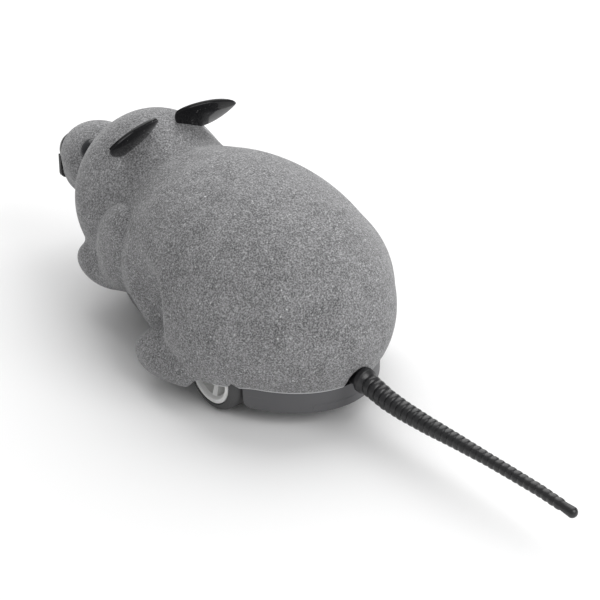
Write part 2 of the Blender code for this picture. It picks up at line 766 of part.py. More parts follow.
def ear_root(side):
    """The peg's frame: it starts inside the leaf and runs down into the head."""
    middle, along, up, _, half = ear_axes(side)
    start = middle + along * half * EAR_ROOT_SHARE
    turn = (-up).to_track_quat("Z", "Y").to_matrix().to_4x4()
    return Matrix.Translation(start) @ turn


def add_leaf(bm, side):
    middle, along, up, facing, half = ear_axes(side)
    fronts = []
    backs = []
    for scale_share, thick_share in EAR_RING_SHARES:
        thick = EAR_EDGE + (EAR_THICKNESS - EAR_EDGE) * thick_share
        front_ring = []
        back_ring = []
        for i in range(EAR_STEPS):
            angle = 2 * math.pi * i / EAR_STEPS
            sway = math.sin(angle)
            point_share = EAR_TIP_SHARE if math.cos(angle) > 0 else EAR_BLUNT_SHARE
            height = (EAR_RISE if sway > 0 else EAR_DROP) * sway * abs(sway) ** point_share
            spot = middle + (along * half * math.cos(angle) + up * height) * scale_share
            spot = spot + facing * EAR_BULGE * (1 - scale_share ** 2)
            front_ring.append(bm.verts.new(spot - facing * thick / 2))
            back_ring.append(bm.verts.new(spot + facing * thick / 2))
        fronts.append(front_ring)
        backs.append(back_ring)
    ladders = list(zip(fronts, fronts[1:])) + list(zip(backs, backs[1:])) + [(fronts[0], backs[0])]
    for outer_ring, inner_ring in ladders:
        for i in range(EAR_STEPS):
            k = (i + 1) % EAR_STEPS
            bm.faces.new((outer_ring[i], outer_ring[k], inner_ring[k], inner_ring[i]))
    bm.faces.new(fronts[-1])
    bm.faces.new(backs[-1])


def eye_frame(side):
    return surface_frame(side * EYE_X, EYE_S)


def make_shell(frame):
    shell = add_piece(frame, "body_shell", skin(0), FLOCK)
    far = SKIN_REACH + MIDDLE_S
    cut(frame, shell, box((-far, -far, -far), (far, TAIL_TIP_S, RIM_Z)), "seam")
    cut(frame, shell, skin(-SHELL_WALL, COARSE), "cavity")
    for side in (1, -1):
        low, high = sorted((side * (WHEEL_INNER_X - ARCH_GAP), side * (WHEEL_FACE_X + ARCH_GAP)))
        arch = rod(WHEEL_RADIUS + ARCH_GAP, low, high, (0, AXLE_S, WHEEL_RADIUS), ALONG_X, WHEEL_SIDES)
        cut(frame, shell, arch, f"arch_{side}")
    core = add_tool(frame, "shell_core", skin(-SHELL_WALL / 2, COARSE))
    front, rear = post_places()
    for number, (x, s) in enumerate(front + rear):
        post = join(frame, shell, rod(POST_RADIUS, RIM_Z + FIT_GAP, far, (x, s, 0)), f"post_{number}")
        shape_with(post, core, "INTERSECT", "core")
    chassis_top = RIM_Z + SHELL_WALL / 2
    chassis = add_tool(frame, "chassis_room", prism(seam_outline(TUB_INSET - GAP), -RIM_Z, chassis_top))
    for number, form in enumerate(LIMBS):
        for side in (1, -1):
            limb = join(frame, shell, ellipsoid(form, side), f"limb_{number}_{side}")
            shape_with(limb, chassis, "DIFFERENCE", "chassis")
            shape_with(limb, core, "DIFFERENCE", "core")
    for number, (x, s) in enumerate(front + rear):
        top = RIM_Z + SCREW_BITE + OVERRUN
        hole = rod(SCREW_RADIUS + FIT_GAP, -RIM_Z, top, (x, s, 0), segments=HOLE_SIDES)
        cut(frame, shell, hole, f"screw_{number}")
    for side in (1, -1):
        cut(frame, shell, eye_hole(side), f"eye_hole_{side}")
        peg = ear_root(side)
        bm = fresh()
        add_rod(bm, EAR_PEG_RADIUS + FIT_GAP, 0, EAR_PEG_REACH + OVERRUN, turn=peg, segments=SMALL_SIDES)
        cut(frame, shell, bm, f"ear_hole_{side}")
    nose_end = NOSE_S + NOSE_PEG_REACH + OVERRUN
    nose_hole = rod(NOSE_PEG_RADIUS + FIT_GAP, -OVERRUN, nose_end, (0, 0, NOSE_Z), ALONG_S)
    cut(frame, shell, nose_hole, "nose_hole")
    outline = slot_outline(TAIL_NECK_RADIUS + GAP, (0, TAIL_Z), -RIM_Z)
    notch = prism(outline, TAIL_COLLAR_S - 4 * TAIL_RADIUS, TAIL_TIP_S, OUTLINE_ALONG_S)
    cut(frame, shell, notch, "tail_notch")
    return shell


def make_tub(frame):
    tub = add_piece(frame, "chassis_tub", prism(seam_outline(TUB_INSET), BELLY_Z, LEDGE_Z), DARK_GREY_PLASTIC)
    join(frame, tub, prism(seam_outline(TUB_INSET, PAN_S), PAN_Z, LEDGE_Z), "pan")
    spine = box((-SPINE_HALF_WIDTH, SPINE_S, PAN_Z), (SPINE_HALF_WIDTH, PAN_S + TUB_WALL, LEDGE_Z))
    join(frame, tub, spine, "spine")
    join(frame, tub, prism(seam_outline(LIP_INSET), BELLY_FLOOR_Z, LIP_TOP), "lip")
    roof_radius = RECESS_STEP_RADIUS + TUB_WALL
    join(frame, tub, prism(round_outline(roof_radius, LIP_INSET), BELLY_FLOOR_Z, ROOF_TOP_Z), "roof")
    open_z = ROOF_TOP_Z + OVERRUN
    cut(frame, tub, prism(seam_outline(CAVITY_INSET, PAN_S + TUB_WALL), PAN_FLOOR_Z, open_z), "pan_hollow")
    corner = [(PAN_S + s, PAN_Z + z) for s, z in corner_points(PAN_CORNER)]
    corner += [(PAN_S + PAN_CORNER, -RIM_Z), (PAN_S - OVERRUN, -RIM_Z), (PAN_S - OVERRUN, PAN_Z + PAN_CORNER)]
    for side in (1, -1):
        low, high = sorted((side * (SPINE_HALF_WIDTH + GAP), side * SKIN_REACH))
        cut(frame, tub, prism(corner, low, high, OUTLINE_ALONG_X), f"pan_corner_{side}")
    inner = SPINE_HALF_WIDTH - TUB_WALL
    hollow = box((-inner, SPINE_S + TUB_WALL, PAN_FLOOR_Z), (inner, PAN_S + OVERRUN, open_z))
    cut(frame, tub, hollow, "spine_hollow")
    pocket_front = SPINE_S + TUB_WALL
    pocket_rear = AXLE_S - NOTCH_REACH - TUB_WALL
    stations = [pocket_front + (pocket_rear - pocket_front) * i / DOOR_STEPS for i in range(DOOR_STEPS + 1)]
    for side in (1, -1):
        rim = [(side * half_width(s, CAVITY_INSET), s) for s in stations]
        outline = [(side * SPINE_HALF_WIDTH, pocket_front), *rim, (side * SPINE_HALF_WIDTH, pocket_rear)]
        cut(frame, tub, prism(outline, BELLY_FLOOR_Z, open_z), f"pocket_{side}")
    upper = box((-SKIN_REACH, SPINE_S + TUB_WALL, LEDGE_Z), (SKIN_REACH, pocket_rear, open_z))
    clear = cut(frame, tub, upper, "upper_hollow")
    lip_line = add_tool(frame, "lip_line", prism(seam_outline(CAVITY_INSET), BELLY_Z, open_z + OVERRUN))
    shape_with(clear, lip_line, "INTERSECT", "within_lip")
    mid = box((-SKIN_REACH, pocket_rear - TUB_WALL, LEDGE_Z), (SKIN_REACH, PAN_S + 2 * TUB_WALL, open_z))
    cut(frame, tub, mid, "wheel_deck")
    for side in (1, -1):
        low, high = sorted((side * NOTCH_X, side * SKIN_REACH))
        cut(frame, tub, box((low, AXLE_S - NOTCH_REACH, -RIM_Z), (high, AXLE_S + NOTCH_REACH, open_z)),
            f"wheel_notch_{side}")
    cut(frame, tub, prism(round_outline(RECESS_RADIUS, TUB_INSET + RECESS_SKIRT), -RIM_Z, RIM_Z), "recess")
    step = prism(round_outline(RECESS_STEP_RADIUS, LIP_INSET + RECESS_LIP), RIM_Z - OVERRUN, ROOF_Z)
    cut(frame, tub, step, "recess_step")
    cut(frame, tub, rod(PIVOT_RADIUS + GAP, -RIM_Z, open_z, (0, BOGIE_S, 0)), "pivot_hole")
    reach = SPINE_HALF_WIDTH + OVERRUN
    axle_slot = slot_outline(AXLE_RADIUS + GAP, AXLE, open_z)
    cut(frame, tub, prism(axle_slot, -reach, reach, OUTLINE_ALONG_X), "axle_slot")
    tail_slot = slot_outline(TAIL_NECK_RADIUS + GAP, (0, TAIL_Z), open_z)
    tail_low = end_station(1, CAVITY_INSET) - OVERRUN
    cut(frame, tub, prism(tail_slot, tail_low, TAIL_TIP_S, OUTLINE_ALONG_S), "tail_slot")
    half = DOOR_HALF_WIDTH + GAP
    channel = box((-half, DOOR_S - GAP, -RIM_Z), (half, TAIL_TIP_S, CHANNEL_TOP_Z))
    cut(frame, tub, channel, "door_channel")
    half += DOOR_TONGUE
    groove = box((-half, DOOR_S - GAP, TONGUE_Z - GAP), (half, TAIL_TIP_S, CHANNEL_TOP_Z))
    cut(frame, tub, groove, "door_groove")
    front, rear = post_places()
    for number, (x, s) in enumerate(front + rear):
        base = BELLY_Z if (x, s) in front else PAN_Z
        join(frame, tub, rod(BOSS_RADIUS, base + PAN_FLOOR / 2, RIM_Z, (x, s, 0)), f"boss_{number}")
        cut(frame, tub, rod(BOSS_RADIUS + GAP, LEDGE_Z - FIT_GAP, open_z, (x, s, 0)), f"post_room_{number}")
        bm = fresh()
        seat = base + SCREW_HEAD_THICKNESS + 2 * GAP
        profile = [(0, -RIM_Z), (SCREW_HEAD_RADIUS + GAP, -RIM_Z), (SCREW_HEAD_RADIUS + GAP, seat),
                   (SCREW_RADIUS + FIT_GAP, seat), (SCREW_RADIUS + FIT_GAP, open_z), (0, open_z)]
        add_turned(bm, profile, (x, s, 0), segments=ROUND_SIDES)
        cut(frame, tub, bm, f"screw_room_{number}")
    post_base = ROOF_TOP_Z - ROOF_THICKNESS / 2
    for number, (x, s) in enumerate(board_posts()):
        post = rod(BOARD_POST_RADIUS, post_base, BOARD_Z - GAP, (x, s, 0), segments=SMALL_SIDES)
        join(frame, tub, post, f"board_post_{number}")
    knob_x = KNOB_HALF_WIDTH + GAP
    low = (-SWITCH_X - knob_x, SWITCH_S - KNOB_HALF_LENGTH - KNOB_TRAVEL / 2 - GAP, -RIM_Z)
    high = (-SWITCH_X + knob_x, SWITCH_S + KNOB_HALF_LENGTH + KNOB_TRAVEL / 2 + GAP, BELLY_FLOOR_Z + GAP)
    cut(frame, tub, box(low, high), "switch_slot")
    return tub


def board_posts():
    stations = (BOARD_FRONT_S + BOARD_POST_INSET, BOARD_REAR_S - BOARD_POST_INSET)
    return [(side * BOARD_POST_X, s) for side in (1, -1) for s in stations]


def make_screws(frame):
    front, rear = post_places()
    for word, base, places in (("front", BELLY_Z, front), ("rear", PAN_Z, rear)):
        for side, (x, s) in zip(("left", "right"), places):
            head = base + GAP
            top = head + SCREW_HEAD_THICKNESS
            profile = [(0, head), (SCREW_HEAD_RADIUS, head), (SCREW_HEAD_RADIUS, top), (SCREW_RADIUS, top),
                       (SCREW_RADIUS, RIM_Z + SCREW_BITE),
                       (SCREW_RADIUS / 2, RIM_Z + SCREW_BITE + SCREW_RADIUS),
                       (0, RIM_Z + SCREW_BITE + SCREW_RADIUS)]
            bm = fresh()
            add_turned(bm, profile, (x, s, 0), segments=SMALL_SIDES)
            add_piece(frame, f"shell_screw_{word}_{side}", bm, STEEL)


def make_ears(frame):
    for side, name in ((1, "ear_left"), (-1, "ear_right")):
        bm = fresh()
        add_leaf(bm, side)
        ear = add_piece(frame, name, bm, BLACK_GLOSS)
        cut(frame, ear, skin(GAP, COARSE), "head")
        peg = fresh()
        add_rod(peg, EAR_PEG_RADIUS, 0, EAR_PEG_REACH, turn=ear_root(side), segments=PIN_SIDES)
        join(frame, ear, peg, "peg")


def eye_levels():
    flange_top = -SHELL_WALL - 2 * GAP
    return flange_top, flange_top - EYE_FLANGE_THICKNESS


def eye_hole(side):
    flange_top, flange_bottom = eye_levels()
    bm = fresh()
    wide = EYE_FLANGE_RADIUS + GAP
    narrow = EYE_RADIUS + FIT_GAP
    profile = [(0, flange_bottom - GAP), (wide, flange_bottom - GAP), (wide, flange_top + GAP),
               (narrow, flange_top + GAP), (narrow, OVERRUN), (0, OVERRUN)]
    add_turned(bm, profile, turn=eye_frame(side), segments=HOLE_SIDES)
    return bm


def make_eyes(frame):
    flange_top, flange_bottom = eye_levels()
    for side, name in ((1, "eye_left"), (-1, "eye_right")):
        bm = fresh()
        turns = [math.pi / 2 * i / EYE_DOME_STEPS for i in range(EYE_DOME_STEPS)]
        dome = [(EYE_RADIUS * math.cos(a), EYE_PROUD * math.sin(a)) for a in turns]
        profile = [(0, flange_bottom), (EYE_FLANGE_RADIUS, flange_bottom), (EYE_FLANGE_RADIUS, flange_top),
                   (EYE_RADIUS, flange_top), *dome, (0, EYE_PROUD)]
        add_turned(bm, profile, turn=eye_frame(side), segments=SMALL_SIDES)
        add_piece(frame, name, bm, BLACK_GLOSS)


def make_nose(frame):
    bulb = Form((0, NOSE_S, NOSE_Z), (NOSE_HALF_WIDTH, NOSE_HALF_LENGTH, NOSE_HALF_HEIGHT), 0, 0, 0, False)
    nose = add_piece(frame, "nose", ellipsoid(bulb), BLACK_GLOSS)
    right = [(LIP_HALF_WIDTH - x, -LIP_BOTTOM_Z - z) for x, z in corner_points(LIP_CORNER)]
    left = [(-x, z) for x, z in reversed(right)]
    outline = [(LIP_HALF_WIDTH, -LIP_TOP_Z), *right, *left, (-LIP_HALF_WIDTH, -LIP_TOP_Z)]
    join(frame, nose, prism(outline, -LIP_THICKNESS, 0, ALONG_S), "lip")
    cut(frame, nose, skin(GAP, COARSE), "muzzle")
    peg = rod(NOSE_PEG_RADIUS, 0, NOSE_S + NOSE_PEG_REACH, (0, 0, NOSE_Z), ALONG_S, SMALL_SIDES)
    join(frame, nose, peg, "peg")


def tail_height(s):
    share = (s - TAIL_COLLAR_S) / (TAIL_TIP_S - TAIL_COLLAR_S)
    return TAIL_Z + TAIL_SAG * np.interp(share, *zip(*TAIL_SAG_SHARES))


def tail_radius(s):
    share = (s - TAIL_COLLAR_S) / (TAIL_TIP_S - TAIL_COLLAR_S)
    return TAIL_RADIUS * np.interp(share, *zip(*TAIL_TAPER_SHARES))


def tip_points(radius):
    """The tail's rounded end, as how far each ring stands out and its radius."""
    turns = [math.pi / 2 * i / TIP_STEPS for i in range(1, TIP_STEPS)]
    rings = [(radius * math.sin(a), radius * math.cos(a)) for a in turns]
    return [*rings, (radius, rings[-1][1] / 2)]


def tail_stations():
    """Station and radius along the tail: flange, neck, collar, ribs and rounded tip."""
    flange_rear = end_station(1, CAVITY_INSET, TAIL_FLANGE_RADIUS) - 2 * GAP
    flange_front = flange_rear - TAIL_FLANGE_THICKNESS
    stations = [(flange_front, TAIL_FLANGE_RADIUS), (flange_rear, TAIL_FLANGE_RADIUS),
                (flange_rear + FIT_GAP, TAIL_NECK_RADIUS)]
    collar_front = TAIL_COLLAR_S - TAIL_RIB_PITCH / 4
    stations += [(collar_front - FIT_GAP, TAIL_NECK_RADIUS), (collar_front, TAIL_COLLAR_RADIUS),
                 (TAIL_COLLAR_S + TAIL_RIB_PITCH / 2, TAIL_COLLAR_RADIUS)]
    start = TAIL_COLLAR_S + TAIL_RIB_PITCH
    tip_radius = tail_radius(TAIL_TIP_S)
    ribs = int((TAIL_TIP_S - 2 * tip_radius - start) / TAIL_RIB_PITCH)
    for i in range(ribs):
        groove = start + i * TAIL_RIB_PITCH
        crest = groove + TAIL_RIB_PITCH / 2
        stations += [(groove, tail_radius(groove) * TAIL_GROOVE_SHARE), (crest, tail_radius(crest))]
    stations += [(TAIL_TIP_S - tip_radius + back, radius) for back, radius in tip_points(tip_radius)]
    return stations


def make_tail(frame):
    curve = bpy.data.curves.new("tail", "CURVE")
    curve.dimensions = "3D"
    curve.bevel_depth = 1
    curve.bevel_resolution = TAIL_RESOLUTION
    curve.use_fill_caps = True
    stations = tail_stations()
    spline = curve.splines.new("POLY")
    spline.points.add(len(stations) - 1)
    for point, (s, radius) in zip(spline.points, stations):
        point.co = (0, s, tail_height(s), 1)
        point.radius = radius
    tail = bpy.data.objects.new("tail", curve)
    tail.parent = frame
    curve.materials.append(look_material("tail", BLACK_RUBBER))
    bpy.context.scene.collection.objects.link(tail)


def make_rear_wheels(frame):
    barrel_inner = HUB_RADIUS - HUB_BARREL_WALL
    web_out = WHEEL_WIDTH - HUB_DISH
    web_in = web_out - HUB_WEB
    bore = AXLE_RADIUS + FIT_GAP
    boss_in = GAP
    hub_profile = [(0, WHEEL_WIDTH - HUB_CAP), (bore, WHEEL_WIDTH - HUB_CAP), (bore, boss_in),
                   (HUB_BOSS_RADIUS, boss_in), (HUB_BOSS_RADIUS, web_in), (barrel_inner, web_in),
                   (barrel_inner, 0), (HUB_RADIUS, 0), (HUB_RADIUS, WHEEL_WIDTH), (barrel_inner, WHEEL_WIDTH),
                   (WINDOW_OUTER, web_out), (HUB_BOSS_RADIUS, web_out), (HUB_BOSS_RADIUS, WHEEL_WIDTH),
                   (0, WHEEL_WIDTH)]
    tyre_inner = HUB_RADIUS + FIT_GAP
    shoulder = [(WHEEL_RADIUS - back, x) for back, x in corner_points(TYRE_SHOULDER)]
    outer = [(r, WHEEL_WIDTH - x) for r, x in shoulder]
    inner = [(r, x) for r, x in reversed(shoulder)]
    face = WHEEL_RADIUS - TYRE_SHOULDER
    tyre_profile = [(tyre_inner, TYRE_SHOULDER / 2), (face, 0), *inner[1:], *outer[:-1], (face, WHEEL_WIDTH),
                    (tyre_inner, WHEEL_WIDTH - TYRE_SHOULDER / 4)]
    for side, word in ((1, "left"), (-1, "right")):
        turn = ALONG_X if side > 0 else ALONG_X @ Matrix.Rotation(math.pi, 4, "X")
        place = (side * WHEEL_INNER_X, AXLE_S, WHEEL_RADIUS)
        bm = fresh()
        add_turned(bm, hub_profile, place, turn, WHEEL_SIDES)
        centre = (0, AXLE_S, WHEEL_RADIUS)
        hub = add_piece(frame, f"rear_hub_{word}", bm, WHITE_PLASTIC, centre)
        windows = fresh()
        low, high = sorted((side * (WHEEL_INNER_X + web_in - OVERRUN), side * (WHEEL_FACE_X + OVERRUN)))
        for i in range(WINDOW_COUNT):
            add_window(windows, SPOKE_PHASE + 2 * math.pi * (i + 0.5) / WINDOW_COUNT, low, high)
        cut(frame, hub, windows, "windows")
        bm = fresh()
        add_turned(bm, tyre_profile, place, turn, WHEEL_SIDES)
        add_piece(frame, f"rear_tyre_{word}", bm, BLACK_RUBBER, centre)


def add_window(bm, middle, low, high):
    """One opening between two spokes, between the radii WINDOW_INNER and WINDOW_OUTER."""
    outline = []
    for radius, way in ((WINDOW_INNER, 1), (WINDOW_OUTER, -1)):
        half = math.pi / WINDOW_COUNT - SPOKE_WIDTH / 2 / radius
        for i in range(WINDOW_STEPS + 1):
            angle = middle + way * half * (2 * i / WINDOW_STEPS - 1)
            outline.append((AXLE_S + radius * math.cos(angle), WHEEL_RADIUS + radius * math.sin(angle)))
    add_prism(bm, outline, low, high, OUTLINE_ALONG_X)


def make_axle(frame):
    centre = (0, AXLE_S, WHEEL_RADIUS)
    reach = WHEEL_FACE_X - HUB_CAP - GAP
    add_piece(frame, "rear_axle", rod(AXLE_RADIUS, -reach, reach, centre, ALONG_X), STEEL, centre)
    bm = fresh()
    phase = gap_phase(AXLE, SECOND, AXLE_TEETH)
    add_gear(bm, AXLE_TEETH, AXLE, phase, PLANE_THREE_X - GEAR_WIDTH, PLANE_THREE_X)
    gear = add_piece(frame, "axle_gear", bm, WHITE_PLASTIC, centre)
    bore = rod(AXLE_RADIUS + FIT_GAP, FRAME_FAR_X, FRAME_NEAR_X, centre, ALONG_X)
    cut(frame, gear, bore, "bore")


def make_gears(frame):
    for name, centre, before, after, large, small, plane in (
            ("first_gear", FIRST, MOTOR, SECOND, FIRST_LARGE_TEETH, FIRST_SMALL_TEETH, PLANE_ONE_X),
            ("second_gear", SECOND, FIRST, AXLE, SECOND_LARGE_TEETH, SECOND_SMALL_TEETH, PLANE_TWO_X)):
        place = (0, *centre)
        bm = fresh()
        add_gear(bm, large, centre, gap_phase(centre, before, large), plane - GEAR_WIDTH, plane)
        gear = add_piece(frame, name, bm, WHITE_PLASTIC, place)
        bm = fresh()
        low = plane - PLANE_PITCH - GEAR_WIDTH
        add_gear(bm, small, centre, tooth_phase(centre, after), low, plane - GEAR_WIDTH / 2)
        join(frame, gear, bm, "small")
        bore = rod(GEAR_PIN_RADIUS + FIT_GAP, low - OVERRUN, plane + OVERRUN, place, ALONG_X, PIN_SIDES)
        cut(frame, gear, bore, "bore")
        pin = rod(GEAR_PIN_RADIUS, FRAME_FAR_X, FRAME_NEAR_X, place, ALONG_X, PIN_SIDES)
        add_piece(frame, f"{name}_pin", pin, STEEL, place)


def make_frame_plates(frame):
    """Two plates that hold the gear pins and the axle's bushes, tied by three pillars."""
    base = PAN_FLOOR_Z + GAP
    chamfer = FRAME_CHAMFER
    outline = [(FRAME_FRONT_S, base), (FRAME_REAR_S, base), (FRAME_REAR_S, FRAME_TOP_Z - chamfer),
               (FRAME_REAR_S - chamfer, FRAME_TOP_Z), (FRAME_FRONT_S + chamfer, FRAME_TOP_Z),
               (FRAME_FRONT_S, FRAME_TOP_Z - chamfer)]
    bm = fresh()
    for low in (FRAME_FAR_X, FRAME_NEAR_INNER_X):
        add_prism(bm, outline, low, low + FRAME_WALL, OUTLINE_ALONG_X)
    plates = add_piece(frame, "gearbox_frame", bm, CREAM_PLASTIC)
    pillars = ((FRAME_FRONT_S + PILLAR_INSET, base + PILLAR_INSET),
               (FRAME_FRONT_S + PILLAR_INSET, FRAME_TOP_Z - PILLAR_INSET),
               (FRAME_REAR_S - PILLAR_INSET, FRAME_TOP_Z - PILLAR_INSET))
    for number, (s, z) in enumerate(pillars):
        low = FRAME_FAR_X + FRAME_WALL / 2
        high = FRAME_NEAR_X - FRAME_WALL / 2
        join(frame, plates, rod(PILLAR_RADIUS, low, high, (0, s, z), ALONG_X, PIN_SIDES), f"pillar_{number}")
    low = FRAME_FAR_X - OVERRUN
    holes = ((AXLE, BUSH_RADIUS), (FIRST, GEAR_PIN_RADIUS), (SECOND, GEAR_PIN_RADIUS))
    for number, (centre, radius) in enumerate(holes):
        hole = rod(radius + FIT_GAP, low, OVERRUN, (0, *centre), ALONG_X, HOLE_SIDES)
        cut(frame, plates, hole, f"hole_{number}")
    low = FRAME_NEAR_INNER_X - RUNNING_GAP
    motor_hole = rod(MOTOR_BOSS_RADIUS + FIT_GAP, low, OVERRUN, (0, *MOTOR), ALONG_X)
    cut(frame, plates, motor_hole, "motor_hole")
    spare = (BUSH_LENGTH - FRAME_WALL) / 2
    bore = AXLE_RADIUS + FIT_GAP
    for word, plate_x in (("far", FRAME_FAR_X), ("near", FRAME_NEAR_INNER_X)):
        low = plate_x - spare
        ring = [(bore, low), (BUSH_RADIUS, low), (BUSH_RADIUS, low + BUSH_LENGTH), (bore, low + BUSH_LENGTH)]
        bm = fresh()
        add_turned(bm, ring, (0, *AXLE), ALONG_X, HOLE_SIDES)
        add_piece(frame, f"axle_bush_{word}", bm, BRASS)


def flat_round(radius, flat):
    """A circle with a flat on its top and its bottom."""
    points = []
    for i in range(ROUND_SIDES):
        angle = 2 * math.pi * i / ROUND_SIDES
        height = max(-flat, min(flat, radius * math.cos(angle)))
        points.append((height, radius * math.sin(angle)))
    return points


def make_motor(frame):
    place = Matrix.Translation((0, *MOTOR))
    can_low = 0
    can_high = MOTOR_LENGTH
    can_outline = flat_round(MOTOR_RADIUS, MOTOR_FLAT)
    can = add_piece(frame, "motor_can", prism(can_outline, can_low, can_high, place @ ALONG_X), STEEL)
    boss = rod(MOTOR_BOSS_RADIUS, FRAME_NEAR_INNER_X, MOTOR_SHAFT_SEAT, (0, *MOTOR), ALONG_X)
    join(frame, can, boss, "boss")
    bore_high = MOTOR_SHAFT_SEAT + GAP
    bore = rod(MOTOR_SHAFT_RADIUS + GAP, -MOTOR_LENGTH, bore_high, (0, *MOTOR), ALONG_X, PIN_SIDES)
    cut(frame, can, bore, "bore")
    cap = prism(can_outline, can_high + GAP, can_high + GAP + MOTOR_CAP_LENGTH, place @ ALONG_X)
    add_piece(frame, "motor_end_cap", cap, WHITE_PLASTIC)
    centre = (0, *MOTOR)
    shaft_low = PLANE_ONE_X - GEAR_WIDTH
    shaft = rod(MOTOR_SHAFT_RADIUS, shaft_low, MOTOR_SHAFT_SEAT, centre, ALONG_X, PIN_SIDES)
    add_piece(frame, "motor_shaft", shaft, STEEL, centre)
    bm = fresh()
    add_gear(bm, PINION_TEETH, MOTOR, tooth_phase(MOTOR, FIRST), shaft_low, PLANE_ONE_X)
    pinion = add_piece(frame, "motor_pinion", bm, BRASS, centre)
    low = shaft_low - OVERRUN
    high = PLANE_ONE_X + OVERRUN
    bore = rod(MOTOR_SHAFT_RADIUS + FIT_GAP, low, high, centre, ALONG_X, PIN_SIDES)
    cut(frame, pinion, bore, "bore")


def make_bogie(frame):
    centre = (0, BOGIE_S, 0)
    inner_x = FRONT_WHEEL_FACE_X - FRONT_WHEEL_WIDTH - RUNNING_GAP
    disc_top = ROOF_Z - RUNNING_GAP
    disc_low = disc_top - BOGIE_DISC_THICKNESS
    arm = box((-inner_x, BOGIE_S - BOGIE_HALF_LENGTH, BOGIE_BASE_Z),
              (inner_x, BOGIE_S + BOGIE_HALF_LENGTH, disc_low + BOGIE_DISC_THICKNESS / 2))
    bogie = add_piece(frame, "steering_bogie", arm, DARK_GREY_PLASTIC, centre)
    join(frame, bogie, rod(BOGIE_DISC_RADIUS, disc_low, disc_top, centre, segments=DRUM_SIDES), "disc")
    post_top = ROOF_TOP_Z + GAP
    join(frame, bogie, rod(PIVOT_RADIUS, disc_low, post_top, centre), "post")
    axle_bore = rod(FRONT_AXLE_RADIUS + GAP, -FRONT_WHEEL_FACE_X, FRONT_WHEEL_FACE_X,
                    (0, BOGIE_S, FRONT_WHEEL_RADIUS), ALONG_X, PIN_SIDES)
    cut(frame, bogie, axle_bore, "axle_bore")
    screw_low = post_top - PIVOT_SCREW_BITE
    bore_radius = PIVOT_SCREW_RADIUS + FIT_GAP
    screw_bore = rod(bore_radius, screw_low - GAP, ROOF_TOP_Z + OVERRUN, centre, segments=PIN_SIDES)
    cut(frame, bogie, screw_bore, "screw_bore")
    head_low = post_top + GAP
    head_top = head_low + PIVOT_HEAD_THICKNESS
    bm = fresh()
    profile = [(0, screw_low), (PIVOT_SCREW_RADIUS, screw_low), (PIVOT_SCREW_RADIUS, head_low),
               (PIVOT_HEAD_RADIUS, head_low), (PIVOT_HEAD_RADIUS, head_top), (0, head_top)]
    add_turned(bm, profile, centre, segments=ROUND_SIDES)
    add_piece(frame, "pivot_screw", bm, STEEL, centre)


def make_front_wheels(frame):
    centre = (0, BOGIE_S, FRONT_WHEEL_RADIUS)
    reach = FRONT_WHEEL_FACE_X - FRONT_BORE_WALL - GAP
    axle = rod(FRONT_AXLE_RADIUS, -reach, reach, centre, ALONG_X, PIN_SIDES)
    add_piece(frame, "front_axle", axle, STEEL, centre)
    bore = FRONT_AXLE_RADIUS + FIT_GAP
    bore_end = FRONT_WHEEL_WIDTH - FRONT_BORE_WALL
    corner = corner_points(FRONT_SHOULDER)
    shoulder = [(FRONT_WHEEL_RADIUS - back, FRONT_WHEEL_WIDTH - x) for back, x in corner]
    profile = [(0, bore_end), (bore, bore_end), (bore, 0),
               (FRONT_WHEEL_RADIUS - FRONT_SHOULDER / 4, 0), (FRONT_WHEEL_RADIUS, FRONT_SHOULDER / 4),
               *shoulder, (0, FRONT_WHEEL_WIDTH)]
    for side, word in ((1, "left"), (-1, "right")):
        turn = ALONG_X if side > 0 else ALONG_X @ Matrix.Rotation(math.pi, 4, "X")
        place = (side * (FRONT_WHEEL_FACE_X - FRONT_WHEEL_WIDTH), BOGIE_S, FRONT_WHEEL_RADIUS)
        bm = fresh()
        add_turned(bm, profile, place, turn, DRUM_SIDES)
        add_piece(frame, f"front_wheel_{word}", bm, BLACK_RUBBER, centre)


def make_batteries(frame):
    for i in range(CELL_COUNT):
        low = -CELL_STACK_X + i * CELL_PITCH
        cell = rod(CELL_RADIUS, low, low + CELL_LENGTH, (0, CELL_S, CELL_Z), ALONG_X, DRUM_SIDES)
        add_piece(frame, f"button_cell_{i + 1}", cell, STEEL)
    for side, word in ((1, "left"), (-1, "right")):
        low, high = sorted((side * CONTACT_X, side * (CONTACT_X + CONTACT_THICKNESS)))
        contact = box((low, CELL_S - CONTACT_HALF_WIDTH, CELL_Z - CONTACT_HALF_WIDTH),
                      (high, CELL_S + CONTACT_HALF_WIDTH, CELL_Z + CONTACT_HALF_WIDTH))
        add_piece(frame, f"battery_contact_{word}", contact, STEEL)
    outer_x = HOLDER_POCKET_X + HOLDER_WALL
    outer_s = HOLDER_RADIUS + HOLDER_WALL
    bottom = CHANNEL_TOP_Z
    block = box((-outer_x, CELL_S - outer_s, bottom), (outer_x, CELL_S + outer_s, CELL_Z + outer_s))
    holder = add_piece(frame, "battery_holder", block, DARK_GREY_PLASTIC)
    feet = box((-HOLDER_FOOT_X, CELL_S - outer_s, PAN_FLOOR_Z + GAP), (HOLDER_FOOT_X, CELL_S - GAP, CELL_Z))
    join(frame, holder, feet, "feet")
    run = box((-DOOR_HALF_WIDTH - DOOR_TONGUE - 2 * GAP, CELL_S - outer_s - OVERRUN, -RIM_Z),
              (DOOR_HALF_WIDTH + DOOR_TONGUE + 2 * GAP, CELL_S + outer_s + OVERRUN, bottom))
    cut(frame, holder, run, "door_run")
    reach = HOLDER_POCKET_X
    pocket = rod(HOLDER_RADIUS, -reach, reach, (0, CELL_S, CELL_Z), ALONG_X, DRUM_SIDES)
    cut(frame, holder, pocket, "pocket")
    mouth = box((-reach, CELL_S - HOLDER_RADIUS, -RIM_Z), (reach, CELL_S + HOLDER_RADIUS, CELL_Z))
    cut(frame, holder, mouth, "mouth")


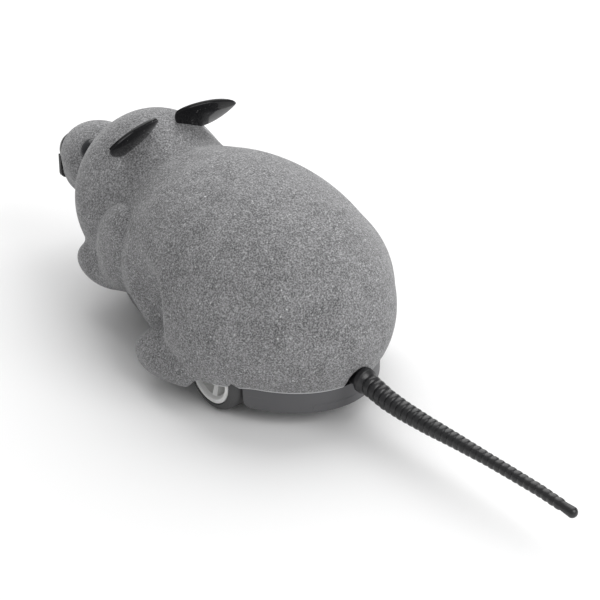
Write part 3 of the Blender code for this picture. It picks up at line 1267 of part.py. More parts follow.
def door_outline(half, inset):
    """The door's front edge and sides, with a rear edge that follows the pan."""
    places = [half * (2 * i / DOOR_STEPS - 1) for i in range(DOOR_STEPS + 1)]
    rear = [(x, end_station(1, inset, x)) for x in reversed(places)]
    return [(-half, DOOR_S), (half, DOOR_S), *rear]


def make_door(frame):
    plate = prism(door_outline(DOOR_HALF_WIDTH, TUB_INSET), PAN_Z, TONGUE_Z + DOOR_PLATE / 2)
    door = add_piece(frame, "battery_door", plate, DARK_GREY_PLASTIC)
    tongue = prism(door_outline(DOOR_HALF_WIDTH + DOOR_TONGUE, TUB_INSET), TONGUE_Z, TONGUE_TOP_Z)
    join(frame, door, tongue, "tongue")


def make_board(frame):
    low = (-BOARD_HALF_WIDTH, BOARD_FRONT_S, BOARD_Z)
    high = (BOARD_HALF_WIDTH, BOARD_REAR_S, BOARD_TOP_Z)
    add_piece(frame, "circuit_board", box(low, high), BOARD_GREEN)
    base = BOARD_TOP_Z + GAP
    low = (-CHIP_HALF_WIDTH, CHIP_S - CHIP_HALF_WIDTH, base)
    high = (CHIP_HALF_WIDTH, CHIP_S + CHIP_HALF_WIDTH, base + CHIP_THICKNESS)
    add_piece(frame, "controller_chip", box(low, high), BLACK_GLOSS)
    capacitor = rod(CAPACITOR_RADIUS, base, base + CAPACITOR_HEIGHT, (-CAPACITOR_X, CAPACITOR_S, 0))
    add_piece(frame, "filter_capacitor", capacitor, BLACK_GLOSS)


def make_switch(frame):
    base = BELLY_FLOOR_Z + GAP
    low = (-SWITCH_X - SWITCH_HALF_WIDTH, SWITCH_S - SWITCH_HALF_LENGTH, base)
    high = (-SWITCH_X + SWITCH_HALF_WIDTH, SWITCH_S + SWITCH_HALF_LENGTH, base + SWITCH_HEIGHT)
    add_piece(frame, "switch_body", box(low, high), STEEL)
    rest_s = SWITCH_S - KNOB_TRAVEL / 2
    centre = (-SWITCH_X, rest_s, BELLY_Z)
    low = (-SWITCH_X - KNOB_HALF_WIDTH, rest_s - KNOB_HALF_LENGTH, BELLY_Z - KNOB_PROUD)
    high = (-SWITCH_X + KNOB_HALF_WIDTH, rest_s + KNOB_HALF_LENGTH, base - GAP)
    add_piece(frame, "switch_knob", box(low, high), BLACK_GLOSS, centre)


def smooth_route(points):
    """A curve through every point, as a finer list."""
    knots = [Vector(point) for point in points]
    knots = [2 * knots[0] - knots[1], *knots, 2 * knots[-1] - knots[-2]]
    route = []
    for before, start, end, after in zip(knots, knots[1:], knots[2:], knots[3:]):
        for i in range(WIRE_STEPS):
            t = i / WIRE_STEPS
            route.append(start + ((end - before) * t + (2 * before - 5 * start + 4 * end - after) * t ** 2
                                  + (3 * start - before - 3 * end + after) * t ** 3) / 2)
    return [*route, knots[-2]]


def make_wires(frame):
    for name, points, look in (("motor_wire_red", MOTOR_WIRE_RED, RED_SLEEVE),
                               ("motor_wire_black", MOTOR_WIRE_BLACK, BLACK_RUBBER),
                               ("battery_wire_red", BATTERY_WIRE_RED, RED_SLEEVE),
                               ("battery_wire_black", BATTERY_WIRE_BLACK, BLACK_RUBBER)):
        route = smooth_route(points)
        curve = bpy.data.curves.new(name, "CURVE")
        curve.dimensions = "3D"
        curve.bevel_depth = WIRE_RADIUS
        curve.bevel_resolution = WIRE_RESOLUTION
        curve.use_fill_caps = True
        spline = curve.splines.new("POLY")
        spline.points.add(len(route) - 1)
        for point, place in zip(spline.points, route):
            point.co = (*place, 1)
        wire = bpy.data.objects.new(name, curve)
        wire.parent = frame
        curve.materials.append(look_material(name, look))
        bpy.context.scene.collection.objects.link(wire)


def main():
    clear_scene()
    frame = make_frame()
    make_shell(frame)
    make_tub(frame)
    make_screws(frame)
    make_ears(frame)
    make_eyes(frame)
    make_nose(frame)
    make_tail(frame)
    make_rear_wheels(frame)
    make_axle(frame)
    make_gears(frame)
    make_frame_plates(frame)
    make_motor(frame)
    make_bogie(frame)
    make_front_wheels(frame)
    make_batteries(frame)
    make_door(frame)
    make_board(frame)
    make_switch(frame)
    make_wires(frame)


main()
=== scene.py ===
"""The looks of the mouse cat toy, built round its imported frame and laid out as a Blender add-on.

Lengths are in metres. Most shapes are worked out with X across the toy, S back from the muzzle and Z up
from the floor, and are then moved into the frame, whose Y zero lies at the station ORIGIN_S.
"""
import math
from collections import namedtuple

import bmesh
import bpy
import numpy as np
from bpy.props import FloatProperty, FloatVectorProperty, IntProperty, PointerProperty
from mathutils import Matrix, Vector


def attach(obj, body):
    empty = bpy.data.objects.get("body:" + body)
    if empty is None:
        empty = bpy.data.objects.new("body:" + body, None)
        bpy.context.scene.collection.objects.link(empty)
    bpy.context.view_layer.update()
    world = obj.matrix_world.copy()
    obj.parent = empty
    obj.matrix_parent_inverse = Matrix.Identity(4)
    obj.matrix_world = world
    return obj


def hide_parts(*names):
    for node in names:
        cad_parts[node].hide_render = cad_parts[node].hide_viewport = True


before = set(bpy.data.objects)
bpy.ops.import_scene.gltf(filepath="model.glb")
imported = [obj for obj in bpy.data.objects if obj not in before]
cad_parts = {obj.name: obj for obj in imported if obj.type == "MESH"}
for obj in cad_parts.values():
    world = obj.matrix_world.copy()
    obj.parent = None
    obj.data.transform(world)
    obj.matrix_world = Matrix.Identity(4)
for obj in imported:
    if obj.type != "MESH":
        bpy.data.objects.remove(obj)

bl_info = {
    "name": "Mouse Cat Toy",
    "version": (1, 0, 0),
    "blender": (4, 5, 0),
    "location": "3D View > Sidebar > Mouse Toy",
    "description": "Dresses the frame of a wheeled toy mouse with its flocked shell, ears, tail and wheels",
    "category": "Object",
}

ROOT = "toy"
ORIGIN_S = 0.0997
TINY = 1e-6

# The body and limbs as swellings: place, half sizes, degrees of pitch and of turn about Z, softness of the
# join, mirrored. The dents are taken out of the body
Swelling = namedtuple("Swelling", "place half pitch yaw blend both")
BODY = (
    Swelling((0, 0.0836, 0.0260), (0.0314, 0.0427, 0.0284), -9.2, 0, 0, False),
    Swelling((0, 0.0564, 0.0243), (0.0219, 0.0259, 0.0236), 0, 0, 0.006, False),
    Swelling((0, 0.0388, 0.0311), (0.0222, 0.0187, 0.0235), 0, 0, 0.007, False),
    Swelling((0, 0.0165, 0.0321), (0.0109, 0.0138, 0.0099), -2.3, 0, 0.004, False),
    Swelling((0, 0.0099, 0.0263), (0.0072, 0.0088, 0.0079), 0, 0, 0.003, False),
    Swelling((0.0215, 0.0950, 0.0226), (0.0107, 0.0170, 0.0165), 0, 14, 0.0020, True),
)
DENTS = (
    Swelling((0.0352, 0.0692, 0.0226), (0.0094, 0.0150, 0.0168), 0, 24, 0.0030, True),
)
LIMBS = (
    Swelling((0.0246, 0.0850, 0.0112), (0.0082, 0.0124, 0.0082), 0, 12, 0.0020, True),
    Swelling((0.0272, 0.0800, 0.0100), (0.0063, 0.0092, 0.0064), 0, 16, 0.0020, True),
    Swelling((0.0206, 0.0520, 0.0272), (0.0056, 0.0092, 0.0142), -24, -12, 0.0006, True),
    Swelling((0.0168, 0.0408, 0.0152), (0.0064, 0.0112, 0.0060), 0, 4, 0.0025, True),
)
BALL_SEGMENTS = 64
BALL_RINGS = 32

# Heights inside the body by station, and how its surface is found from there
SPINE = ((0.0165, 0.0292), (0.0388, 0.0311), (0.0836, 0.0260))
SKIN_REACH = 0.075
HALVINGS = 24
SLOPE_STEP = 0.0001

# The rim, where the shell ends and the chassis begins
RIM_Z = 0.0110
SEAM_INSET = 0.0001
SEAM_STEPS = 72

# The rear wheels' axle and the room around them in the shell
AXLE_S = 0.0950
WHEEL_RADIUS = 0.00985
WHEEL_FACE_X = 0.0252
WHEEL_WIDTH = 0.0100
WHEEL_INNER_X = WHEEL_FACE_X - WHEEL_WIDTH
ARCH_GAP = 0.0007
TURNED_SIDES = 72

# The front wheels' axle
BOGIE_S = 0.0500

# Ways to turn a shape that was made standing on Z, to carry an outline into X and Z, and into the frame
UPRIGHT = Matrix.Identity(4)
ALONG_X = Matrix.Rotation(math.radians(90), 4, "Y")
OUTLINE_ALONG_S = Matrix(((1, 0, 0, 0), (0, 0, 1, 0), (0, 1, 0, 0), (0, 0, 0, 1)))
INTO_FRAME = Matrix.Translation((0, -ORIGIN_S, 0))
MIRROR = Matrix.Diagonal((-1, 1, 1, 1))

# Edges that turn more than this are shaded sharp, on the pieces and on the frame's coarser parts
SHARP_ANGLE = math.radians(40)
FRAME_SHARP_ANGLE = math.radians(32)


def length(name, default, description):
    return FloatProperty(name=name, default=default, description=description, min=0, precision=5,
                         subtype="DISTANCE", unit="LENGTH")


def colour(name, default, description):
    return FloatVectorProperty(name=name, default=default, description=description, size=3, min=0, max=1,
                               subtype="COLOR")


def share(name, default, description):
    return FloatProperty(name=name, default=default, description=description, min=0, max=1, subtype="FACTOR")


class ShellSettings(bpy.types.PropertyGroup):
    """Sizes and colours of the flocked shell."""

    wall: length("Wall", 0.0016, "Thickness of the moulded shell under its flock")
    facet: length("Facet", 0.0007, "Width of the faces that the coat is made of")
    crease: FloatProperty(name="Crease", default=1, min=0.1, max=3,
                          description="Scales how softly the limbs run into the body")
    slot_radius: length("Tail slot", 0.0031, "Half width of the slot that the tail comes out of")
    slot_z: length("Slot height", 0.0139, "Height of the middle of the slot's round top")
    # Height of the painted highlight line along the rim's rear half
    rim_highlight_line: length("Rim line", 0.00035, "Height of the pale line where the flock ends at the rim")
    dark: colour("Dark fibres", (0.064, 0.064, 0.066), "Colour between the fibres")
    light: colour("Light fibres", (0.43, 0.43, 0.438), "Colour of the fibres' ends")
    # Painted glints: the few bright fibre tips are painted in this colour
    glint_tips: colour("Bright tips", (0.75, 0.75, 0.76), "Colour of the few fibres that catch the light")
    # Colour of the painted highlight line along the rim's rear half
    rim: colour("Rim", (0.55, 0.55, 0.56), "Colour of the bare line along the rim")


class EarSettings(bpy.types.PropertyGroup):
    """Sizes of the leaf shaped ears."""

    rise: length("Rise", 0.0032, "How far the leaf stands above its middle line")
    drop: length("Drop", 0.0082, "How far the leaf reaches below its middle line")
    thickness: length("Thickness", 0.0013, "Thickness in the middle of the leaf")
    edge: length("Edge", 0.0010, "Thickness of the leaf's round edge")
    bulge: length("Bulge", 0.0009, "How far the middle of the leaf stands out to the rear")
    black: colour("Black", (0.006, 0.006, 0.007), "Colour of the glossy leaves")


class FaceSettings(bpy.types.PropertyGroup):
    """Sizes of the eyes and the nose."""

    eye_radius: length("Eye radius", 0.0030, "Radius of the dome of an eye")
    eye_proud: length("Eye height", 0.0018, "How far an eye stands out of the coat")
    nose_half_width: length("Nose half width", 0.0048, "Half width of the nose's bulb")
    nose_half_length: length("Nose half length", 0.0046, "Half length of the nose's bulb")
    nose_half_height: length("Nose half height", 0.0052, "Half height of the nose's bulb")
    lip_half_width: length("Lip half width", 0.0034, "Half width of the lip below the nose")
    lip_thickness: length("Lip thickness", 0.0011, "Thickness of the lip")
    eye_colour: colour("Eye colour", (0.022, 0.023, 0.026), "Colour of the eyes")


class TailSettings(bpy.types.PropertyGroup):
    """Sizes of the ribbed rubber tail."""

    height: length("Height", 0.0139, "Height of the tail's middle where it leaves the rump")
    radius: length("Radius", 0.0030, "Radius of the first ribs")
    neck: length("Neck", 0.0025, "Radius where the tail passes the shell's wall")
    collar: length("Collar", 0.0034, "Radius of the plain collar at the root")
    pitch: length("Pitch", 0.0020, "Length of one rib")
    sag: length("Sag", 0.0020, "Measure of the tail's gentle bend")
    groove: share("Groove", 0.82, "Radius of the grooves as a share of the ribs'")
    rubber: colour("Rubber", (0.010, 0.010, 0.011), "Colour of the rubber")


class WheelSettings(bpy.types.PropertyGroup):
    """Sizes of the four wheels."""

    shoulder: length("Shoulder", 0.0020, "Rounding of the rear tyres' edges")
    hub_radius: length("Hub radius", 0.0076, "Radius of the rear wheels' white hubs")
    ring: length("Ring", 0.0014, "Width of the hub's flat outer ring")
    dish: length("Dish", 0.0022, "How far the spokes lie behind the ring at the hub's middle")
    pocket: length("Pocket", 0.0018, "Depth of the pockets between the spokes")
    spokes: IntProperty(name="Spokes", default=5, min=3, max=12, description="Number of spokes in a hub")
    front_radius: length("Front radius", 0.0060, "Radius of the front wheels")
    front_shoulder: length("Front shoulder", 0.0016, "Rounding of the front wheels' edges")
    white: colour("White", (0.80, 0.80, 0.79), "Colour of the hubs")


class FinishSettings(bpy.types.PropertyGroup):
    """Colours of the parts that keep the shape of their frame."""

    seam: length("Door seam", 0.00005, "Width of the seam round the battery door")
    plastic: colour("Grey plastic", (0.100, 0.100, 0.105), "Colour of the chassis mouldings")
    nylon: colour("Nylon", (0.72, 0.68, 0.58), "Colour of the gears and their frame")
    steel: colour("Steel", (0.62, 0.62, 0.63), "Colour of pins, cans and screws")
    brass: colour("Brass", (0.72, 0.53, 0.25), "Colour of the bushes and the pinion")
    board: colour("Board", (0.02, 0.14, 0.05), "Colour of the circuit board")


class StageSettings(bpy.types.PropertyGroup):
    """The floor, the lights and the camera."""

    floor_half: length("Floor half width", 1.5, "Half width of the pale floor")
    distance: length("Camera distance", 0.62, "From the camera to the point that it looks at")
    azimuth: FloatProperty(name="Azimuth", default=math.radians(140), subtype="ANGLE", unit="ROTATION",
                           description="Where the camera stands round the toy")
    elevation: FloatProperty(name="Elevation", default=math.radians(32), subtype="ANGLE", unit="ROTATION",
                             description="How far the camera looks down")
    pale: colour("Floor colour", (0.90, 0.90, 0.90), "Colour of the floor")


SETTINGS = {
    "toy_shell": ShellSettings,
    "toy_ears": EarSettings,
    "toy_face": FaceSettings,
    "toy_tail": TailSettings,
    "toy_wheels": WheelSettings,
    "toy_finish": FinishSettings,
    "toy_stage": StageSettings,
}


def swelling_turn(swelling, side=1):
    yaw = Matrix.Rotation(side * math.radians(swelling.yaw), 3, "Z")
    return yaw @ Matrix.Rotation(math.radians(swelling.pitch), 3, "X")


def swelling_distance(points, swelling, side=1):
    """About how far each point lies outside one swelling."""
    place = np.array((side * swelling.place[0], *swelling.place[1:]))
    half = np.array(swelling.half)
    local = (points - place) @ np.array(swelling_turn(swelling, side))
    near = np.linalg.norm(local / half, axis=-1)
    slope = np.linalg.norm(local / half ** 2, axis=-1) + TINY
    return near * (near - 1) / slope


def soft_join(total, distance, blend):
    """The nearer of two distances, rounded where they are alike."""
    lean = np.clip(0.5 + 0.5 * (total - distance) / blend, 0, 1)
    return total * (1 - lean) + distance * lean - blend * lean * (1 - lean)


def body_distance(points):
    total = swelling_distance(points, BODY[0])
    for swelling in BODY[1:]:
        distance = swelling_distance(points, swelling)
        if swelling.both:
            distance = np.minimum(distance, swelling_distance(points, swelling, -1))
        total = soft_join(total, distance, swelling.blend)
    for dent in DENTS:
        distance = np.minimum(swelling_distance(points, dent), swelling_distance(points, dent, -1))
        total = -soft_join(-total, distance, dent.blend)
    return total


def coat_distance(points, crease):
    """About how far each point lies outside the body with its limbs. Crease scales the limbs' blends."""
    total = body_distance(points)
    for swelling in LIMBS:
        for side in (1, -1):
            distance = swelling_distance(points, swelling, side)
            total = soft_join(total, distance, crease * swelling.blend)
    return total


def crossing(inside, outside, level):
    """Where a straight way from inside to outside passes the body's surface at this distance."""
    for _ in range(HALVINGS):
        middle = (inside + outside) / 2
        within = (body_distance(middle) < level)[..., None]
        inside = np.where(within, middle, inside)
        outside = np.where(within, outside, middle)
    return (inside + outside) / 2


def spine_height(s):
    return float(np.interp(s, [p[0] for p in SPINE], [p[1] for p in SPINE]))


def half_width(s, inset):
    """The body's half width in the seam's plane, drawn in by inset."""
    inside = np.array((0, s, RIM_Z))
    if body_distance(inside) >= -inset:
        return 0
    return crossing(inside, inside + np.array((SKIN_REACH, 0, 0)), -inset)[0]


def end_station(way, inset, x=0):
    """Where the seam's plane meets the body in front (way -1) or behind (way 1), at x from the middle."""
    inside = np.array((x, BODY[0].place[1], RIM_Z))
    return crossing(inside, inside + np.array((0, way * SKIN_REACH, 0)), -inset)[1]


def seam_outline(inset):
    """The body's outline in the seam's plane, drawn in by inset."""
    front = end_station(-1, inset)
    rear = end_station(1, inset)
    stations = [(front + rear) / 2 - (rear - front) / 2 * math.cos(math.pi * i / SEAM_STEPS)
                for i in range(1, SEAM_STEPS)]
    right = [(half_width(s, inset), s) for s in stations]
    left = [(-x, s) for x, s in reversed(right)]
    return [(0, front), *right, (0, rear), *left]


def surface_frame(x, s):
    """The top of the skin over (x, s), with Z along its outward normal."""
    inside = np.array((x, s, spine_height(s)))
    point = crossing(inside, inside + np.array((0, 0, SKIN_REACH)), 0)
    steps = np.eye(3) * SLOPE_STEP
    normal = Vector([float(body_distance(point + step) - body_distance(point - step)) for step in steps])
    return Matrix.Translation(Vector(point)) @ normal.to_track_quat("Z", "Y").to_matrix().to_4x4()


def add_rings(bm, rings, closed_ends=True):
    """Faces between rings of points of one count, with flat ends."""
    rows = [[bm.verts.new(point) for point in ring] for ring in rings]
    for lower, upper in zip(rows, rows[1:]):
        for i in range(len(lower)):
            k = (i + 1) % len(lower)
            bm.faces.new((lower[i], lower[k], upper[k], upper[i]))
    if closed_ends:
        bm.faces.new(list(reversed(rows[0])))
        bm.faces.new(rows[-1])
    return rows


def add_turned(bm, profile, turn=UPRIGHT, sides=TURNED_SIDES):
    """A turned body from pairs of radius and height, whose radius is above zero all along."""
    rings = []
    for radius, height in profile:
        ring = []
        for i in range(sides):
            angle = 2 * math.pi * i / sides
            ring.append(turn @ Vector((radius * math.cos(angle), radius * math.sin(angle), height)))
        rings.append(ring)
    add_rings(bm, rings)


def add_prism(bm, outline, low, high, turn=UPRIGHT):
    """A straight body over a flat outline, between two levels."""
    add_rings(bm, [[turn @ Vector((u, v, level)) for u, v in outline] for level in (low, high)])


def arc(radius, start, end, steps):
    """Points of a circle's arc about zero, both ends counted."""
    angles = [start + (end - start) * i / steps for i in range(steps + 1)]
    return [(radius * math.cos(a), radius * math.sin(a)) for a in angles]


def mesh_of(bm, name):
    """The finished mesh, with its faces turned outward. The working mesh goes."""
    bmesh.ops.recalc_face_normals(bm, faces=bm.faces)
    mesh = bpy.data.meshes.new(name)
    bm.to_mesh(mesh)
    bm.free()
    return mesh


def bare_object(name, mesh):
    thing = bpy.data.objects.new(name, mesh)
    bpy.context.scene.collection.objects.link(thing)
    return thing


def settled_mesh(thing):
    """The object's mesh with its modifiers in it. The object goes."""
    depsgraph = bpy.context.evaluated_depsgraph_get()
    mesh = bpy.data.meshes.new_from_object(thing.evaluated_get(depsgraph), depsgraph=depsgraph)
    bpy.data.objects.remove(thing)
    return mesh


def carved(mesh, tools, operation="DIFFERENCE"):
    """The mesh with closed tools cut out of it, or joined to it, one after the other."""
    thing = bare_object("carved", mesh)
    others = []
    for bm in tools:
        other = bare_object("carving_tool", mesh_of(bm, "carving_tool"))
        others.append(other)
        modifier = thing.modifiers.new("carve", "BOOLEAN")
        modifier.operation = operation
        modifier.solver = "MANIFOLD"
        modifier.object = other
    result = settled_mesh(thing)
    for other in others:
        bpy.data.objects.remove(other)
    return result


def place_piece(name, mesh, material, body, nodes, sharp=SHARP_ANGLE):
    """Puts a finished piece in the frame, where it rides on a body and stands for its nodes."""
    mesh.transform(INTO_FRAME)
    mesh.name = name
    mesh.materials.clear()
    mesh.materials.append(material)
    mesh.shade_smooth()
    mesh.set_sharp_from_angle(angle=sharp)
    piece = bare_object(name, mesh)
    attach(piece, body)
    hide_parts(*nodes)


# Materials. A Tree adds nodes to a material or group and links what it is given

class Tree:
    """A node tree that is filled by calls."""

    def __init__(self, tree):
        self.tree = tree

    def add(self, kind, settings=None, **inputs):
        """A node of this kind. An input is named by its socket, with underscores for spaces."""
        node = self.tree.nodes.new(kind)
        for key, value in (settings or {}).items():
            setattr(node, key, value)
        for key, value in inputs.items():
            self.feed(node, key.replace("_", " "), value)
        return node

    def feed(self, node, key, value):
        socket = node.inputs[int(key)] if key.isdigit() else node.inputs[key]
        if isinstance(value, bpy.types.NodeSocket):
            self.tree.links.new(value, socket)
        elif isinstance(value, tuple) and len(value) == 3 and socket.type == "RGBA":
            socket.default_value = (*value, 1)
        else:
            socket.default_value = value

    def math(self, operation, first, second=0.0):
        node = self.add("ShaderNodeMath", {"operation": operation})
        self.feed(node, "0", first)
        self.feed(node, "1", second)
        return node.outputs[0]

    def between(self, factor, first, second):
        """A colour that runs from first to second with the factor."""
        node = self.add("ShaderNodeMix", {"data_type": "RGBA"})
        self.tree.links.new(factor, node.inputs[0])
        self.feed(node, "6", first)
        self.feed(node, "7", second)
        return node.outputs[2]

    def spread(self, value, low, high, to_low=0.0, to_high=1.0):
        """The value's stretch from low to high, carried to another stretch and held there."""
        node = self.add("ShaderNodeMapRange", Value=value, From_Min=low, From_Max=high, To_Min=to_low,
                        To_Max=to_high)
        return node.outputs[0]


def new_group(name, inputs, outputs):
    """An empty effect with named sockets. Each input has its socket kind and default."""
    group = bpy.data.node_groups.new(name, "ShaderNodeTree")
    for label, (kind, default) in inputs.items():
        socket = group.interface.new_socket(name=label, in_out="INPUT", socket_type=kind)
        socket.default_value = default
    for label, kind in outputs.items():
        group.interface.new_socket(name=label, in_out="OUTPUT", socket_type=kind)
    return group, Tree(group)


NUMBER = "NodeSocketFloat"
VECTOR = "NodeSocketVector"

# Where the grains' height lies halfway, and the share of the soft patches' stretch that is in use
GRAIN_MIDDLE = 0.78
PATCH_LOW = 0.2
PATCH_HIGH = 0.8

# Refraction of the plastics and the rubber, and how strongly rounded edges show
PLASTIC_IOR = 1.5
RUBBER_IOR = 1.52
EDGE_GAIN = 3.0


def speckle_group():
    """Fine grains, as of flock or sand, with a value and a height."""
    group, tree = new_group("Speckle", {"Grain": (NUMBER, 0.0004), "Contrast": (NUMBER, 0.5)},
                            {"Value": NUMBER, "Height": NUMBER})
    source = tree.add("NodeGroupInput")
    place = tree.add("ShaderNodeTexCoord").outputs["Object"]
    scale = tree.math("DIVIDE", 1.0, source.outputs["Grain"])
    noise = tree.add("ShaderNodeTexNoise", Vector=place, Scale=scale, Detail=2.0, Roughness=0.6)
    cells = tree.add("ShaderNodeTexVoronoi", Vector=place, Scale=scale, Randomness=1.0)
    grains = tree.math("ADD", noise.outputs["Fac"], tree.math("MULTIPLY", cells.outputs["Distance"], 0.5))
    reach = tree.math("MULTIPLY", source.outputs["Contrast"], 0.5)
    low = tree.math("SUBTRACT", GRAIN_MIDDLE, reach)
    high = tree.math("ADD", GRAIN_MIDDLE, reach)
    value = tree.spread(grains, low, high)
    sink = tree.add("NodeGroupOutput")
    tree.tree.links.new(value, sink.inputs["Value"])
    tree.tree.links.new(grains, sink.inputs["Height"])
    return group


def mottle_group():
    """Large soft patches, as a value about one half."""
    group, tree = new_group("Mottle", {"Patch": (NUMBER, 0.012), "Strength": (NUMBER, 0.5)},
                            {"Value": NUMBER})
    source = tree.add("NodeGroupInput")
    place = tree.add("ShaderNodeTexCoord").outputs["Object"]
    scale = tree.math("DIVIDE", 1.0, source.outputs["Patch"])
    noise = tree.add("ShaderNodeTexNoise", Vector=place, Scale=scale, Detail=3.0, Roughness=0.55)
    centred = tree.math("SUBTRACT", noise.outputs["Fac"], 0.5)
    value = tree.math("ADD", tree.math("MULTIPLY", centred, source.outputs["Strength"]), 0.5)
    tree.tree.links.new(value, tree.add("NodeGroupOutput").inputs["Value"])
    return group


def soft_edge_group():
    """A normal that rounds the edges, and a mask that is bright along them."""
    group, tree = new_group("Soft Edge", {"Radius": (NUMBER, 0.0002), "Gain": (NUMBER, 4.0)},
                            {"Normal": VECTOR, "Mask": NUMBER})
    source = tree.add("NodeGroupInput")
    bevel = tree.add("ShaderNodeBevel", {"samples": 4}, Radius=source.outputs["Radius"])
    true_normal = tree.add("ShaderNodeNewGeometry").outputs["Normal"]
    alike = tree.add("ShaderNodeVectorMath", {"operation": "DOT_PRODUCT"})
    tree.tree.links.new(bevel.outputs["Normal"], alike.inputs[0])
    tree.tree.links.new(true_normal, alike.inputs[1])
    apart = tree.math("SUBTRACT", 1.0, alike.outputs["Value"])
    mask = tree.add("ShaderNodeMath", {"operation": "MULTIPLY", "use_clamp": True})
    tree.feed(mask, "0", apart)
    tree.feed(mask, "1", source.outputs["Gain"])
    sink = tree.add("NodeGroupOutput")
    tree.tree.links.new(bevel.outputs["Normal"], sink.inputs["Normal"])
    tree.tree.links.new(mask.outputs[0], sink.inputs["Mask"])
    return group


def brushed_group():
    """Fine scratches that run along Y, as a value and a height."""
    group, tree = new_group("Brushed", {"Line": (NUMBER, 0.0002)}, {"Value": NUMBER, "Height": NUMBER})
    source = tree.add("NodeGroupInput")
    place = tree.add("ShaderNodeTexCoord").outputs["Object"]
    stretched = tree.add("ShaderNodeMapping", Vector=place, Scale=(1.0, 0.04, 1.0))
    scale = tree.math("DIVIDE", 1.0, source.outputs["Line"])
    noise = tree.add("ShaderNodeTexNoise", Vector=stretched.outputs[0], Scale=scale, Detail=3.0)
    sink = tree.add("NodeGroupOutput")
    tree.tree.links.new(noise.outputs["Fac"], sink.inputs["Value"])
    tree.tree.links.new(noise.outputs["Fac"], sink.inputs["Height"])
    return group


def group_named(name):
    makers = {"Speckle": speckle_group, "Mottle": mottle_group, "Soft Edge": soft_edge_group,
              "Brushed": brushed_group}
    return bpy.data.node_groups.get(name) or makers[name]()


def use_group(tree, name, **inputs):
    node = tree.add("ShaderNodeGroup", {"node_tree": group_named(name)})
    for key, value in inputs.items():
        tree.feed(node, key, value)
    return node


def new_material(name, **shader_values):
    """A material with one Principled shader. Values that are the same all over go on its sockets."""
    material = bpy.data.materials.new(name)
    material.use_nodes = True
    tree = Tree(material.node_tree)
    shader = material.node_tree.nodes["Principled BSDF"]
    for key, value in shader_values.items():
        tree.feed(shader, key.replace("_", " "), value)
    return material, tree, shader


def rgb(values):
    return tuple(values)


def shaded(values, factor, lift=0.0):
    """A colour made darker or paler, and held at full brightness."""
    return tuple(min(1, value * factor + lift) for value in values)


def uneven(tree, value, roughness, smoother, rougher, low=PATCH_LOW, high=PATCH_HIGH):
    """A roughness that runs with the value from a little smoother to a little rougher."""
    return tree.spread(value, low, high, roughness - smoother, roughness + rougher)


def bumped(tree, shader, strength, depth, height, normal=None):
    """Gives the shader a relief of this depth."""
    bump = tree.add("ShaderNodeBump", Strength=strength, Distance=depth, Height=height)
    if normal:
        tree.feed(bump, "Normal", normal)
    tree.feed(shader, "Normal", bump.outputs[0])


def moulded_material(name, base, roughness=0.5, depth=0.00002, coat=0.0):
    """Moulded plastic: a fine spark grain, soft patches and edges that are made paler."""
    material, tree, shader = new_material(name, IOR=PLASTIC_IOR, Coat_Weight=coat, Coat_Roughness=0.1)
    patches = use_group(tree, "Mottle", Patch=0.015, Strength=0.7).outputs["Value"]
    grains = use_group(tree, "Speckle", Grain=0.00035, Contrast=1.0)
    edge = use_group(tree, "Soft Edge", Radius=0.0002, Gain=EDGE_GAIN)
    plain = tree.between(patches, shaded(base, 0.86), shaded(base, 1.14))
    # Every edge is made paler alike, along the Soft Edge mask
    paler_edge = shaded(base, 1.35, lift=0.01)
    tree.feed(shader, "Base Color", tree.between(edge.outputs["Mask"], plain, paler_edge))
    tree.feed(shader, "Roughness", uneven(tree, patches, roughness, 0.05, 0.07))
    bumped(tree, shader, 0.5, depth, grains.outputs["Height"], edge.outputs["Normal"])
    return material


def gloss_material(name, base, roughness=0.12, coat=0.1):
    """Polished plastic: a faint orange peel and a few specks of dust."""
    material, tree, shader = new_material(name, IOR=PLASTIC_IOR, Specular_IOR_Level=0.2, Coat_Weight=coat,
                                          Coat_Roughness=0.04)
    patches = use_group(tree, "Mottle", Patch=0.006, Strength=0.8).outputs["Value"]
    dust = use_group(tree, "Speckle", Grain=0.0007, Contrast=0.2)
    edge = use_group(tree, "Soft Edge", Radius=0.00025, Gain=EDGE_GAIN)
    specks = tree.spread(dust.outputs["Height"], 1.02, 1.12)
    plain = tree.between(patches, shaded(base, 0.7), shaded(base, 1.3))
    tree.feed(shader, "Base Color", tree.between(specks, plain, (0.16, 0.16, 0.16)))
    tree.feed(shader, "Roughness", uneven(tree, patches, roughness, roughness * 0.3, roughness * 0.5))
    bumped(tree, shader, 0.3, 0.00003, patches, edge.outputs["Normal"])
    return material


def rubber_material(name, base, roughness=0.42):
    """Soft rubber: matt with a weak shine, a fine grain and a trace of dust."""
    material, tree, shader = new_material(name, IOR=RUBBER_IOR)
    patches = use_group(tree, "Mottle", Patch=0.005, Strength=0.9).outputs["Value"]
    grains = use_group(tree, "Speckle", Grain=0.0003, Contrast=0.9)
    dusty = tree.between(grains.outputs["Value"], shaded(base, 0.75), shaded(base, 1.5))
    tree.feed(shader, "Base Color", tree.between(patches, dusty, shaded(base, 1.4)))
    tree.feed(shader, "Roughness", uneven(tree, patches, roughness, 0.06, 0.08))
    bumped(tree, shader, 0.4, 0.00003, grains.outputs["Height"])
    return material


def metal_material(name, base, roughness=0.3):
    """Drawn or turned metal: fine scratches and softly rounded edges."""
    material, tree, shader = new_material(name, Metallic=1.0)
    lines = use_group(tree, "Brushed", Line=0.0002)
    edge = use_group(tree, "Soft Edge", Radius=0.00012, Gain=EDGE_GAIN)
    value = lines.outputs["Value"]
    tree.feed(shader, "Base Color", tree.between(value, shaded(base, 0.8), shaded(base, 1.15)))
    tree.feed(shader, "Roughness", uneven(tree, value, roughness, 0.08, 0.1, low=0.3, high=0.7))
    bumped(tree, shader, 0.3, 0.00001, lines.outputs["Height"], edge.outputs["Normal"])
    return material


